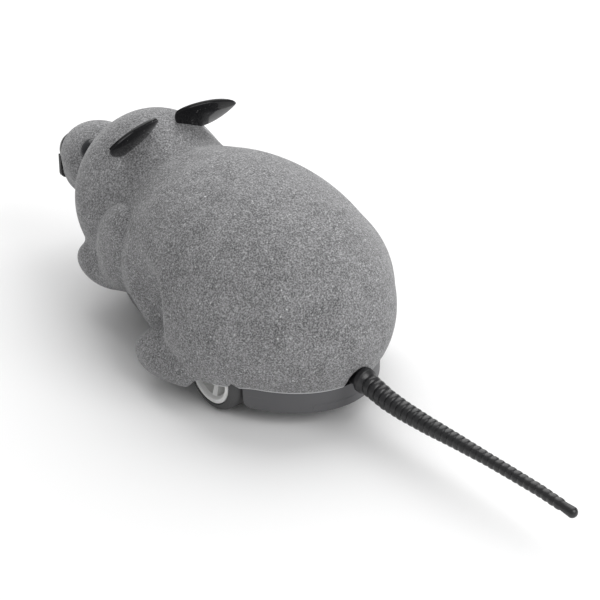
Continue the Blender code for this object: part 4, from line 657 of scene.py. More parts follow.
def board_material(name, base):
    """A circuit board: green lacquer over copper tracks, which show as paler lines."""
    material, tree, shader = new_material(name, IOR=PLASTIC_IOR, Roughness=0.32)
    place = tree.add("ShaderNodeTexCoord").outputs["Object"]
    bricks = tree.add("ShaderNodeTexBrick", {"offset": 0.35, "squash": 0.7}, Vector=place, Scale=900.0,
                      Mortar_Size=0.05, Mortar_Smooth=0.2, Color1=(0.0, 0.0, 0.0), Color2=(0.0, 0.0, 0.0),
                      Mortar=(1.0, 1.0, 1.0))
    patches = use_group(tree, "Mottle", Patch=0.004, Strength=1.0)
    shown = tree.math("MULTIPLY", bricks.outputs["Color"],
                      tree.spread(patches.outputs["Value"], 0.45, 0.55))
    track = tuple(value + more for value, more in zip(base, (0.06, 0.16, 0.05)))
    tree.feed(shader, "Base Color", tree.between(shown, base, track))
    bumped(tree, shader, 0.5, 0.00003, shown)
    return material


FLOCK_GRAIN = 0.00042
FLOCK_TUFT = 0.0011
FLOCK_SHARES = {"grain": 0.6, "tuft": 0.15, "patch": 0.25}
# Grain heights over which the painted glints on the fibre tips come in
FLOCK_GLINT_HEIGHTS = (1.04, 1.12)
FLOCK_DEPTH = 0.00016


def flock_material(settings):
    """Short flocked fibres: light and dark grains, tufts, patches, painted glints on the fibre tips and a
    painted highlight line along the rim's rear half.
    """
    material, tree, shader = new_material("Grey Flock", Roughness=0.95, Sheen_Weight=0.22,
                                          Sheen_Roughness=0.45, Specular_IOR_Level=0.15)
    fine = use_group(tree, "Speckle", Grain=FLOCK_GRAIN, Contrast=0.37)
    coarse = use_group(tree, "Speckle", Grain=FLOCK_TUFT, Contrast=0.5)
    patches = use_group(tree, "Mottle", Patch=0.006, Strength=1.6)
    both = tree.math("ADD", tree.math("MULTIPLY", fine.outputs["Value"], FLOCK_SHARES["grain"]),
                     tree.math("MULTIPLY", coarse.outputs["Value"], FLOCK_SHARES["tuft"]))
    lean = tree.math("ADD", both, tree.math("MULTIPLY", patches.outputs["Value"], FLOCK_SHARES["patch"]))
    plain = tree.between(lean, rgb(settings.dark), rgb(settings.light))
    # Painted glints: the highest grains are painted bright, as fibre tips that catch the light
    glint_tips = tree.spread(fine.outputs["Height"], *FLOCK_GLINT_HEIGHTS)
    speckled = tree.between(glint_tips, plain, rgb(settings.glint_tips))
    place = tree.add("ShaderNodeTexCoord").outputs["Object"]
    axes = tree.add("ShaderNodeSeparateXYZ", Vector=place)
    # Painted highlight: a pale line painted along the rim's rear half, just above where the flock ends
    low = tree.spread(axes.outputs["Z"], RIM_Z + settings.rim_highlight_line, RIM_Z + settings.rim_highlight_line * 0.6)
    behind = tree.spread(axes.outputs["Y"], 0.0, settings.rim_highlight_line)
    painted_highlight = tree.math("MULTIPLY", low, behind)
    tree.feed(shader, "Base Color", tree.between(painted_highlight, speckled, rgb(settings.rim)))
    bumped(tree, shader, 0.7, FLOCK_DEPTH, tree.math("ADD", fine.outputs["Height"], coarse.outputs["Height"]))
    return material


def material_named(name, maker, *values, **options):
    return bpy.data.materials.get(name) or maker(name, *values, **options)


# The flocked shell

SETTLING_ROUNDS = 3
SETTLING_STEPS = 2
SLOT_STEPS = 32
SLOT_DEPTH = SKIN_REACH / 8


def swelling_ball(bm, swelling, side):
    place = Vector((side * swelling.place[0], *swelling.place[1:]))
    turn = swelling_turn(swelling, side).to_4x4()
    shape = Matrix.Translation(place) @ turn @ Matrix.Diagonal((*swelling.half, 1))
    bmesh.ops.create_uvsphere(bm, u_segments=BALL_SEGMENTS, v_segments=BALL_RINGS, radius=1, matrix=shape)


def relaxed(mesh, settle):
    """The mesh with its points drawn onto the surface where settle is zero, and evened out."""
    count = len(mesh.vertices)
    points = np.zeros(3 * count)
    mesh.vertices.foreach_get("co", points)
    points = points.reshape(-1, 3)
    edges = np.zeros(2 * len(mesh.edges), int)
    mesh.edges.foreach_get("vertices", edges)
    starts = np.concatenate((edges[::2], edges[1::2]))
    ends = np.concatenate((edges[1::2], edges[::2]))
    neighbours = np.bincount(starts, minlength=count)[:, None]
    for step in range(SETTLING_ROUNDS):
        if step:
            sums = [np.bincount(starts, weights=points[ends, axis], minlength=count) for axis in range(3)]
            points = (points + np.stack(sums, axis=1) / neighbours) / 2
        for _ in range(SETTLING_STEPS):
            level = settle(points)
            slope = np.stack([settle(points + shift) - level for shift in np.eye(3) * TINY], axis=1) / TINY
            points = points - slope * (level / np.sum(slope ** 2, axis=1))[:, None]
    mesh.vertices.foreach_set("co", points.ravel())
    mesh.update()
    return mesh


def coat_mesh(offset, facet, crease, limbs):
    """A closed even mesh of the body's surface at this offset, with or without the limbs."""
    bm = bmesh.new()
    for swelling in BODY + (LIMBS if limbs else ()):
        for side in ((1, -1) if swelling.both else (1,)):
            swelling_ball(bm, swelling, side)
    start = bare_object("coat", mesh_of(bm, "coat"))
    remesh = start.modifiers.new("even", "REMESH")
    remesh.mode = "VOXEL"
    remesh.voxel_size = facet
    if limbs:
        return relaxed(settled_mesh(start), lambda points: coat_distance(points, crease) - offset)
    return relaxed(settled_mesh(start), lambda points: body_distance(points) - offset)


def chassis_room():
    """Everything below the rim within the seam's outline, where the chassis sits."""
    bm = bmesh.new()
    add_prism(bm, seam_outline(SEAM_INSET), -RIM_Z, RIM_Z)
    return bm


def wheel_room(side):
    bm = bmesh.new()
    low, high = sorted((side * (WHEEL_INNER_X - ARCH_GAP), side * (WHEEL_FACE_X + ARCH_GAP)))
    turn = Matrix.Translation((0, AXLE_S, WHEEL_RADIUS)) @ ALONG_X
    radius = WHEEL_RADIUS + ARCH_GAP
    add_turned(bm, [(radius, low), (radius, high)], turn)
    return bm


def tail_room(settings):
    """The slot that the tail comes out of: round on top and open at the rim."""
    bm = bmesh.new()
    top = [(x, settings.slot_z + z) for x, z in arc(settings.slot_radius, 0, math.pi, SLOT_STEPS)]
    outline = [*top, (-settings.slot_radius, -RIM_Z), (settings.slot_radius, -RIM_Z)]
    rear = end_station(1, 0)
    add_prism(bm, outline, rear - SLOT_DEPTH, rear + SKIN_REACH, OUTLINE_ALONG_S)
    return bm


class MOUSETOY_OT_shell(bpy.types.Operator):
    """Build the flocked shell with its haunches, arms, paws and feet"""

    bl_idname = "mousetoy.shell"
    bl_label = "Build Shell"

    def execute(self, context):
        settings = context.scene.toy_shell
        outer = coat_mesh(0, settings.facet, settings.crease, True)
        cavity = bmesh.new()
        cavity.from_mesh(coat_mesh(-settings.wall, 2 * settings.facet, settings.crease, False))
        tools = [chassis_room(), cavity, wheel_room(1), wheel_room(-1), tail_room(settings)]
        mesh = carved(outer, tools)
        place_piece("flocked_shell", mesh, flock_material(settings), ROOT, ["body_shell"])
        return {"FINISHED"}


# The ears

EAR_INNER = Vector((0.0030, 0.0463, 0.0568))
EAR_OUTER = Vector((0.0210, 0.0494, 0.0554))
EAR_FACING = Vector((-0.27, 0.83, -0.485))
EAR_TIP_SHARE = 0.6
EAR_BLUNT_SHARE = 0.05
EAR_SIDES = 96
EAR_EDGE_STEPS = 8
EAR_FACE_SHARES = (0.93, 0.84, 0.73, 0.6, 0.45, 0.28, 0.12)


def ear_point(settings, angle, scale, out):
    """A point of the leaf at this angle round it, drawn in by scale and lifted out to the rear."""
    middle = (EAR_INNER + EAR_OUTER) / 2
    along = (EAR_OUTER - EAR_INNER).normalized()
    facing = (EAR_FACING - along * EAR_FACING.dot(along)).normalized()
    up = along.cross(facing)
    half = (EAR_OUTER - EAR_INNER).length / 2
    sway = math.sin(angle)
    point_share = EAR_TIP_SHARE if math.cos(angle) > 0 else EAR_BLUNT_SHARE
    height = (settings.rise if sway > 0 else settings.drop) * sway * abs(sway) ** point_share
    spot = middle + (along * half * math.cos(angle) + up * height) * scale
    return spot + facing * (settings.bulge * (1 - scale ** 2) + out)


def ear_mesh(settings):
    edge = settings.edge / 2
    half = (EAR_OUTER - EAR_INNER).length / 2
    rows = []
    for share_in in reversed(EAR_FACE_SHARES):
        thick = edge + (settings.thickness / 2 - edge) * (1 - share_in)
        rows.append((share_in, -thick))
    for i in range(EAR_EDGE_STEPS + 1):
        turn = -math.pi / 2 + math.pi * i / EAR_EDGE_STEPS
        rows.append((1 - edge / half * (1 - math.cos(turn)), edge * math.sin(turn)))
    for share_in in EAR_FACE_SHARES:
        thick = edge + (settings.thickness / 2 - edge) * (1 - share_in)
        rows.append((share_in, thick))
    bm = bmesh.new()
    angles = [2 * math.pi * i / EAR_SIDES for i in range(EAR_SIDES)]
    add_rings(bm, [[ear_point(settings, a, scale, out) for a in angles] for scale, out in rows])
    return bm


class MOUSETOY_OT_ears(bpy.types.Operator):
    """Build the two glossy leaf shaped ears"""

    bl_idname = "mousetoy.ears"
    bl_label = "Build Ears"

    def execute(self, context):
        settings = context.scene.toy_ears
        material = material_named("Black Gloss", gloss_material, rgb(settings.black))
        for side, name in ((1, "left"), (-1, "right")):
            bm = ear_mesh(settings)
            if side < 0:
                bm.transform(MIRROR)
            place_piece(f"leaf_ear_{name}", mesh_of(bm, "ear"), material, ROOT, [f"ear_{name}"])
        return {"FINISHED"}


# The eyes and the nose

EYE_X = 0.0074
EYE_S = 0.0202
EYE_STEPS = 14
EYE_SIDES = 48
EYE_ROOT = 0.0020
NOSE_S = 0.0030
NOSE_Z = 0.0296
LIP_TOP_Z = 0.0275
LIP_BOTTOM_Z = 0.0199
LIP_CORNER = 0.0018
LIP_CORNER_STEPS = 10
NOSE_SEGMENTS = 56
NOSE_RINGS = 36


class MOUSETOY_OT_face(bpy.types.Operator):
    """Build the two eyes, the nose and the lip below it"""

    bl_idname = "mousetoy.face"
    bl_label = "Build Eyes and Nose"

    def execute(self, context):
        settings = context.scene.toy_face
        black = material_named("Black Gloss", gloss_material, rgb(context.scene.toy_ears.black))
        eye_material = material_named("Eye Gloss", gloss_material, rgb(settings.eye_colour))
        for side, name in ((1, "left"), (-1, "right")):
            bm = bmesh.new()
            dome = [(settings.eye_radius * math.cos(a), settings.eye_proud * math.sin(a))
                    for a in (math.pi / 2 * i / EYE_STEPS for i in range(EYE_STEPS))]
            add_turned(bm, [(settings.eye_radius, -EYE_ROOT), *dome], surface_frame(side * EYE_X, EYE_S),
                       EYE_SIDES)
            place_piece(f"bead_eye_{name}", mesh_of(bm, "eye"), eye_material, ROOT, [f"eye_{name}"])
        bm = bmesh.new()
        half = (settings.nose_half_width, settings.nose_half_length, settings.nose_half_height)
        shape = Matrix.Translation((0, NOSE_S, NOSE_Z)) @ Matrix.Diagonal((*half, 1))
        bmesh.ops.create_uvsphere(bm, u_segments=NOSE_SEGMENTS, v_segments=NOSE_RINGS, radius=1, matrix=shape)
        lip = bmesh.new()
        corner = arc(LIP_CORNER, -math.pi / 2, 0, LIP_CORNER_STEPS)
        right = [(settings.lip_half_width - LIP_CORNER + x, LIP_BOTTOM_Z + LIP_CORNER + z) for x, z in corner]
        left = [(-x, z) for x, z in reversed(right)]
        outline = [*right, (settings.lip_half_width, LIP_TOP_Z), (-settings.lip_half_width, LIP_TOP_Z), *left]
        add_prism(lip, outline, -settings.lip_thickness, 0, OUTLINE_ALONG_S)
        mesh = carved(mesh_of(bm, "nose"), [lip], "UNION")
        place_piece("nose_and_lip", mesh, black, ROOT, ["nose"])
        return {"FINISHED"}


# The tail

TAIL_ROOT_S = 0.1190
TAIL_COLLAR_S = 0.1264
TAIL_TIP_S = 0.2010
TAIL_SAG_SHARES = ((0, 0), (0.12, -0.75), (0.2, -0.85), (0.32, -0.7), (0.45, -0.35), (0.6, -0.05),
                   (0.7, 0.1), (0.84, 0.25), (1, 0.1))
TAIL_TAPER_SHARES = ((0, 1), (0.12, 0.92), (0.6, 0.56), (1, 0.48))
RIB_STEPS = 10
RIB_FULLNESS = 0.6
RIB_SHARP_ANGLE = math.radians(70)
COLLAR_STEPS = 4
TIP_STEPS = 9
TAIL_SIDES = 40


def along_tail(s, pairs):
    share_along = (s - TAIL_COLLAR_S) / (TAIL_TIP_S - TAIL_COLLAR_S)
    return float(np.interp(share_along, *zip(*pairs)))


def tail_stations(settings):
    """Station and radius along the tail: root, neck, collar, rounded ribs and tip."""
    front = TAIL_COLLAR_S - settings.pitch / 4
    back = TAIL_COLLAR_S + settings.pitch / 2
    corner = settings.pitch / 8
    stations = [(TAIL_ROOT_S, settings.neck), (front - corner, settings.neck)]
    stations += [(front + corner * (1 - math.cos(a)), settings.collar - corner * (1 - math.sin(a)))
                 for a in (math.pi / 2 * i / COLLAR_STEPS for i in range(COLLAR_STEPS + 1))]
    stations += [(back - corner * (1 - math.cos(a)), settings.collar - corner * (1 - math.sin(a)))
                 for a in (math.pi / 2 * i / COLLAR_STEPS for i in range(COLLAR_STEPS, -1, -1))]
    start = TAIL_COLLAR_S + settings.pitch
    tip_radius = settings.radius * along_tail(TAIL_TIP_S, TAIL_TAPER_SHARES)
    ribs = int((TAIL_TIP_S - 2 * tip_radius - start) / settings.pitch)
    for i in range(ribs * RIB_STEPS + 1):
        s = start + i * settings.pitch / RIB_STEPS
        crest = abs(math.sin(math.pi * i / RIB_STEPS)) ** RIB_FULLNESS
        radius = settings.radius * along_tail(s, TAIL_TAPER_SHARES)
        stations.append((s, radius * (settings.groove + (1 - settings.groove) * crest)))
    for i in range(1, TIP_STEPS):
        turn = math.pi / 2 * i / TIP_STEPS
        stations.append((TAIL_TIP_S - tip_radius * (1 - math.sin(turn)), tip_radius * math.cos(turn)))
    return stations


class MOUSETOY_OT_tail(bpy.types.Operator):
    """Build the ribbed rubber tail"""

    bl_idname = "mousetoy.tail"
    bl_label = "Build Tail"

    def execute(self, context):
        settings = context.scene.toy_tail
        bm = bmesh.new()
        rings = []
        for s, radius in tail_stations(settings):
            middle = Vector((0, s, settings.height + settings.sag * along_tail(s, TAIL_SAG_SHARES)))
            circle = arc(radius, 0, 2 * math.pi, TAIL_SIDES)[:-1]
            rings.append([middle + Vector((x, 0, z)) for x, z in circle])
        add_rings(bm, rings)
        material = material_named("Tail Rubber", rubber_material, rgb(settings.rubber), roughness=0.3)
        place_piece("ribbed_tail", mesh_of(bm, "tail"), material, ROOT, ["tail"], RIB_SHARP_ANGLE)
        return {"FINISHED"}


# The wheels

SPOKE_PHASE = math.radians(-62)
SPOKE_WIDTH = 0.0018
POCKET_INNER = 0.0027
POCKET_OUTER = 0.0058
POCKET_STEPS = 12
POCKET_RISE = 0.001
BOSS_RADIUS = 0.0021
BOSS_BACK = 0.0003
BOSS_DROP = 0.0007
BOSS_FOOT = 0.0004
HUB_WEB_BACK = 0.0030
HUB_BEVEL = 0.0003
HUB_EDGE = 0.0002
RING_DEPTH = 0.0009
TYRE_GAP = 0.00015
TYRE_SIDES = 96
TYRE_BACK = 0.0008
TYRE_FACE_DROP = 0.0004
FRONT_FACE_X = 0.0118
FRONT_WIDTH = 0.0038
FRONT_RIM_SHARES = (0.55, 0.5)
FRONT_DISH = 0.0005
FRONT_CAP_RADIUS = 0.0016
FRONT_CAP_BEVEL = 0.0003
FRONT_CAP_DROP = 0.0001


def wheel_turn(side, inner_x, s, z):
    """Carries a wheel that was turned about Z, its face up, to its axle."""
    place = Matrix.Translation((side * inner_x, s, z))
    return place @ (ALONG_X if side > 0 else ALONG_X @ Matrix.Rotation(math.pi, 4, "X"))


def round_shoulder(radius, face, rounding, steps=8):
    """Profile points over a rounded edge, from the tread to the face."""
    return [(radius - rounding + x, face - rounding + y) for x, y in arc(rounding, 0, math.pi / 2, steps)]


def pocket(bm, settings, middle, low, high):
    """The room between two spokes."""
    outline = []
    for radius, way in ((POCKET_INNER, 1), (POCKET_OUTER, -1)):
        half = math.pi / settings.spokes - SPOKE_WIDTH / 2 / radius
        for i in range(POCKET_STEPS + 1):
            angle = middle + way * half * (2 * i / POCKET_STEPS - 1)
            outline.append((radius * math.cos(angle), radius * math.sin(angle)))
    add_prism(bm, outline, low, high)


def hub_mesh(settings, side):
    """A white hub made standing on Z with its face up: ring, dished spokes, pockets and cap."""
    ring_inner = settings.hub_radius - settings.ring
    web = WHEEL_WIDTH - settings.dish
    bm = bmesh.new()
    cap = WHEEL_WIDTH - BOSS_DROP
    profile = [(TINY, BOSS_BACK), (BOSS_RADIUS, BOSS_BACK), (BOSS_RADIUS, HUB_WEB_BACK),
               (ring_inner, HUB_WEB_BACK), (ring_inner, 0), (settings.hub_radius, 0),
               (settings.hub_radius, WHEEL_WIDTH - HUB_EDGE), (settings.hub_radius - HUB_EDGE, WHEEL_WIDTH),
               (ring_inner + HUB_BEVEL, WHEEL_WIDTH), (ring_inner, WHEEL_WIDTH - HUB_BEVEL),
               (ring_inner - HUB_BEVEL, WHEEL_WIDTH - RING_DEPTH), (BOSS_RADIUS + BOSS_FOOT, web),
               (BOSS_RADIUS, web + HUB_BEVEL), (BOSS_RADIUS, cap - HUB_BEVEL), (BOSS_RADIUS - HUB_BEVEL, cap),
               (TINY, cap)]
    add_turned(bm, profile)
    tools = bmesh.new()
    phase = SPOKE_PHASE if side > 0 else math.pi - SPOKE_PHASE
    for i in range(settings.spokes):
        middle = phase + 2 * math.pi * (i + 0.5) / settings.spokes
        pocket(tools, settings, middle, web - settings.pocket, WHEEL_WIDTH + POCKET_RISE)
    return carved(mesh_of(bm, "hub"), [tools])


class MOUSETOY_OT_rear_wheels(bpy.types.Operator):
    """Build the white spoked hubs and the black tyres of the rear wheels"""

    bl_idname = "mousetoy.rear_wheels"
    bl_label = "Build Rear Wheels"

    def execute(self, context):
        settings = context.scene.toy_wheels
        white = material_named("White Hub", moulded_material, rgb(settings.white), roughness=0.34, coat=0.2)
        black = material_named("Tyre Rubber", rubber_material, (0.050, 0.050, 0.051), roughness=0.6)
        bore = settings.hub_radius + TYRE_GAP
        for side, name in ((1, "left"), (-1, "right")):
            turn = wheel_turn(side, WHEEL_INNER_X, AXLE_S, WHEEL_RADIUS)
            hub = hub_mesh(settings, side)
            hub.transform(turn)
            place_piece(f"spoked_hub_{name}", hub, white, "rear_wheelset", [f"rear_hub_{name}"])
            upper = round_shoulder(WHEEL_RADIUS, WHEEL_WIDTH, settings.shoulder)
            lower = [(radius, WHEEL_WIDTH - height) for radius, height in reversed(upper)]
            bm = bmesh.new()
            profile = [(bore, TYRE_BACK), *lower, *upper, (bore, WHEEL_WIDTH - TYRE_FACE_DROP)]
            sections = [[turn @ Vector((r * math.cos(a), r * math.sin(a), h)) for r, h in profile]
                        for a in (2 * math.pi * i / TYRE_SIDES for i in range(TYRE_SIDES))]
            add_rings(bm, [*sections, sections[0]], closed_ends=False)
            bmesh.ops.remove_doubles(bm, verts=bm.verts, dist=TINY)
            place_piece(f"round_tyre_{name}", mesh_of(bm, "tyre"), black, "rear_wheelset",
                        [f"rear_tyre_{name}"])
        return {"FINISHED"}


# The battery door, which slides to the rear

DOOR_HALF_WIDTH = 0.0094
DOOR_TONGUE = 0.0008  # How far its tongues reach into the chassis at each side
DOOR_PLATE = 0.0008
DOOR_S = 0.0999
DOOR_Z = 0.0046
DOOR_GAP = 0.0003  # Between the frame's door and its chassis
DOOR_INSET = 0.0004  # From the body's outline to the chassis wall, with which the door is flush
DOOR_STEPS = 48


class MOUSETOY_OT_door(bpy.types.Operator):
    """Build the battery door, whose seam with the chassis is as fine as on the toy"""

    bl_idname = "mousetoy.door"
    bl_label = "Build Battery Door"

    def execute(self, context):
        settings = context.scene.toy_finish
        grey = material_named("Grey Moulding", moulded_material, rgb(settings.plastic), roughness=0.5)
        wider = DOOR_GAP - settings.seam
        levels = ((DOOR_HALF_WIDTH + wider, DOOR_Z, DOOR_Z + DOOR_PLATE + DOOR_GAP),
                  (DOOR_HALF_WIDTH + DOOR_TONGUE + wider, DOOR_Z + DOOR_PLATE + settings.seam,
                   DOOR_Z + 2 * DOOR_PLATE + DOOR_GAP + wider))
        forms = []
        for half, low, high in levels:
            places = [half * (2 * i / DOOR_STEPS - 1) for i in range(DOOR_STEPS + 1)]
            rear = [(x, end_station(1, DOOR_INSET, x)) for x in reversed(places)]
            bm = bmesh.new()
            add_prism(bm, [(-half, DOOR_S - wider), (half, DOOR_S - wider), *rear], low, high)
            forms.append(bm)
        plate, tongue = forms
        mesh = carved(mesh_of(plate, "door"), [tongue], "UNION")
        place_piece("sliding_door", mesh, grey, "battery_hatch", ["battery_door"])
        return {"FINISHED"}


class MOUSETOY_OT_front_wheels(bpy.types.Operator):
    """Build the small black front wheels"""

    bl_idname = "mousetoy.front_wheels"
    bl_label = "Build Front Wheels"

    def execute(self, context):
        settings = context.scene.toy_wheels
        material = material_named("Front Wheel", rubber_material, (0.014, 0.014, 0.015), roughness=0.4)
        upper = round_shoulder(settings.front_radius, FRONT_WIDTH, settings.front_shoulder)
        lower = [(radius, FRONT_WIDTH - height) for radius, height in reversed(upper)]
        rim, dish = (settings.front_radius * part for part in FRONT_RIM_SHARES)
        cap = FRONT_WIDTH - FRONT_CAP_DROP
        profile = [(TINY, 0), *lower, *upper, (rim, FRONT_WIDTH), (dish, FRONT_WIDTH - FRONT_DISH),
                   (FRONT_CAP_RADIUS, FRONT_WIDTH - FRONT_DISH), (FRONT_CAP_RADIUS - FRONT_CAP_BEVEL, cap),
                   (TINY, cap)]
        for side, name in ((1, "left"), (-1, "right")):
            bm = bmesh.new()
            turn = wheel_turn(side, FRONT_FACE_X - FRONT_WIDTH, BOGIE_S, settings.front_radius)
            add_turned(bm, profile, turn)
            place_piece(f"small_wheel_{name}", mesh_of(bm, "front_wheel"), material, "front_wheelset",
                        [f"front_wheel_{name}"])
        return {"FINISHED"}


# The wires, whose routes are those of the frame

WIRE_RADIUS = 0.0005
WIRE_STEPS = 12
WIRE_SIDES = 16
WIRE_ROUTES = {
    "motor_wire_red": ((0.0150, 0.0806, 0.0196), (0.0158, 0.0792, 0.0250), (0.0135, 0.0742, 0.0274),
                       (0.0085, 0.0665, 0.0250), (0.0058, 0.0608, 0.0222), (0.0055, 0.0598, 0.0199)),
    "motor_wire_black": ((0.0150, 0.0806, 0.0148), (0.0176, 0.0800, 0.0160), (0.0190, 0.0780, 0.0220),
                         (0.0170, 0.0740, 0.0285), (0.0115, 0.0680, 0.0270), (0.0088, 0.0612, 0.0222),
                         (0.0085, 0.0605, 0.0199)),
    "battery_wire_red": ((0.0088, 0.1040, 0.0202), (0.0090, 0.1020, 0.0250), (0.0060, 0.0950, 0.0300),
                         (0.0030, 0.0850, 0.0310), (0.0020, 0.0720, 0.0280), (0.0020, 0.0615, 0.0225),
                         (0.0020, 0.0605, 0.0199)),
    "battery_wire_black": ((-0.0088, 0.1040, 0.0202), (-0.0090, 0.1020, 0.0250), (-0.0070, 0.0950, 0.0300),
                           (-0.0040, 0.0850, 0.0310), (-0.0030, 0.0720, 0.0280), (-0.0030, 0.0615, 0.0225),
                           (-0.0030, 0.0605, 0.0199)),
}


def smooth_route(points, steps):
    """A curve through every point, as a finer list."""
    knots = [Vector(point) for point in points]
    knots = [2 * knots[0] - knots[1], *knots, 2 * knots[-1] - knots[-2]]
    route = []
    for before, start, end, after in zip(knots, knots[1:], knots[2:], knots[3:]):
        for i in range(steps):
            t = i / steps
            route.append(start + ((end - before) * t + (2 * before - 5 * start + 4 * end - after) * t ** 2
                                  + (3 * start - before - 3 * end + after) * t ** 3) / 2)
    return [*route, knots[-2]]


def tube_mesh(route, radius, sides):
    """A round tube along a route, carried on without twist."""
    bm = bmesh.new()
    rings = []
    side_way = Vector((0, 0, 1))
    for i, spot in enumerate(route):
        ahead = (route[min(i + 1, len(route) - 1)] - route[max(i - 1, 0)]).normalized()
        across = ahead.cross(side_way).normalized()
        side_way = across.cross(ahead)
        rings.append([spot + across * x + side_way * y for x, y in arc(radius, 0, 2 * math.pi, sides)[:-1]])
    add_rings(bm, rings)
    return mesh_of(bm, "tube")


class MOUSETOY_OT_wires(bpy.types.Operator):
    """Build the four wires inside the toy"""

    bl_idname = "mousetoy.wires"
    bl_label = "Build Wires"

    def execute(self, context):
        red = material_named("Red Sleeve", rubber_material, (0.42, 0.02, 0.02), roughness=0.4)
        black = material_named("Black Sleeve", rubber_material, (0.015, 0.015, 0.015), roughness=0.4)
        for node, points in WIRE_ROUTES.items():
            mesh = tube_mesh(smooth_route(points, WIRE_STEPS), WIRE_RADIUS, WIRE_SIDES)
            place_piece(f"sleeved_{node}", mesh, red if node.endswith("red") else black, ROOT, [node])
        return {"FINISHED"}


# The parts that keep the shape of their frame

def smoothing_group():
    """A geometry node tree that shades smoothly over edges below its angle."""
    group = bpy.data.node_groups.new("Smooth Shading", "GeometryNodeTree")
    group.interface.new_socket(name="Geometry", in_out="INPUT", socket_type="NodeSocketGeometry")
    angle = group.interface.new_socket(name="Angle", in_out="INPUT", socket_type="NodeSocketFloat")
    angle.default_value = FRAME_SHARP_ANGLE
    group.interface.new_socket(name="Geometry", in_out="OUTPUT", socket_type="NodeSocketGeometry")
    tree = Tree(group)
    source = tree.add("NodeGroupInput")
    bend = tree.add("GeometryNodeInputMeshEdgeAngle")
    gentle = tree.add("FunctionNodeCompare", {"data_type": "FLOAT", "operation": "LESS_THAN"})
    group.links.new(bend.outputs["Unsigned Angle"], gentle.inputs[0])
    group.links.new(source.outputs["Angle"], gentle.inputs[1])
    merge = tree.add("GeometryNodeMergeByDistance")
    merge.inputs["Distance"].default_value = TINY
    group.links.new(source.outputs["Geometry"], merge.inputs["Geometry"])
    faces = tree.add("GeometryNodeSetShadeSmooth", {"domain": "FACE"})
    group.links.new(merge.outputs["Geometry"], faces.inputs["Geometry"])
    edges = tree.add("GeometryNodeSetShadeSmooth", {"domain": "EDGE"})
    group.links.new(faces.outputs["Geometry"], edges.inputs["Geometry"])
    group.links.new(gentle.outputs[0], edges.inputs["Shade Smooth"])
    group.links.new(edges.outputs["Geometry"], tree.add("NodeGroupOutput").inputs["Geometry"])
    return group


class MOUSETOY_OT_finish(bpy.types.Operator):
    """Give each part that keeps its frame's shape its finish"""

    bl_idname = "mousetoy.finish"
    bl_label = "Finish Frame Parts"

    def execute(self, context):
        settings = context.scene.toy_finish
        grey = material_named("Grey Moulding", moulded_material, rgb(settings.plastic), roughness=0.5)
        dark = moulded_material("Black Moulding", (0.018, 0.018, 0.019), roughness=0.42)
        nylon = moulded_material("Nylon", rgb(settings.nylon), roughness=0.38, depth=0.00001)
        cream = moulded_material("Cap Moulding", (0.70, 0.70, 0.66), roughness=0.4, depth=0.00001)
        steel = metal_material("Steel", rgb(settings.steel))
        plated = metal_material("Plated Steel", (0.74, 0.72, 0.68), roughness=0.22)
        brass = metal_material("Brass", rgb(settings.brass), roughness=0.28)
        board = board_material("Circuit Board", rgb(settings.board))
        sleeve = gloss_material("Capacitor Sleeve", (0.02, 0.03, 0.08), roughness=0.3, coat=0.2)
        finishes = {
            grey: ("chassis_tub", "steering_bogie"),
            dark: ("battery_holder", "switch_knob", "controller_chip"),
            nylon: ("gearbox_frame", "axle_gear", "first_gear", "second_gear"),
            cream: ("motor_end_cap",),
            steel: ("motor_can", "motor_shaft", "rear_axle", "front_axle", "first_gear_pin",
                    "second_gear_pin", "pivot_screw", "shell_screw_front_left", "shell_screw_front_right",
                    "shell_screw_rear_left", "shell_screw_rear_right", "switch_body"),
            plated: ("button_cell_1", "button_cell_2", "button_cell_3", "battery_contact_left",
                     "battery_contact_right"),
            brass: ("axle_bush_far", "axle_bush_near", "motor_pinion"),
            board: ("circuit_board",),
            sleeve: ("filter_capacitor",),
        }
        smoothing = smoothing_group()
        for material, nodes in finishes.items():
            for name in nodes:
                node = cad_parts[name]
                for index in range(len(node.material_slots)):
                    node.material_slots[index].link = "OBJECT"
                    node.material_slots[index].material = material
                modifier = node.modifiers.new("smooth shading", "NODES")
                modifier.node_group = smoothing
        return {"FINISHED"}


# The stage

LENS = 144
SENSOR = 36
SHIFT_RIGHT = 0.005
SHIFT_UP = 0.0283
LOOK_AT = Vector((0, 0.0003, 0.0200))
CLIP_NEAR = 0.01
CLIP_FAR = 20
WORLD_STRENGTH = 0.46

# Each light's place, width and power
LIGHTS = {
    "key_light": ((-0.42, -0.42, 0.72), 1.3, 8.8),
    "rear_light": ((-0.15, 0.75, 0.60), 0.7, 4.2),
}


def area_light(name, place, size, power):
    """A round lamp that shines on the point that the camera looks at."""
    light = bpy.data.lights.new(name, "AREA")
    light.shape = "DISK"
    light.size = size
    light.energy = power
    lamp = bpy.data.objects.new(name, light)
    lamp.location = place
    lamp.rotation_mode = "QUATERNION"
    lamp.rotation_quaternion = (Vector(place) - LOOK_AT).to_track_quat("Z", "Y")
    bpy.context.scene.collection.objects.link(lamp)


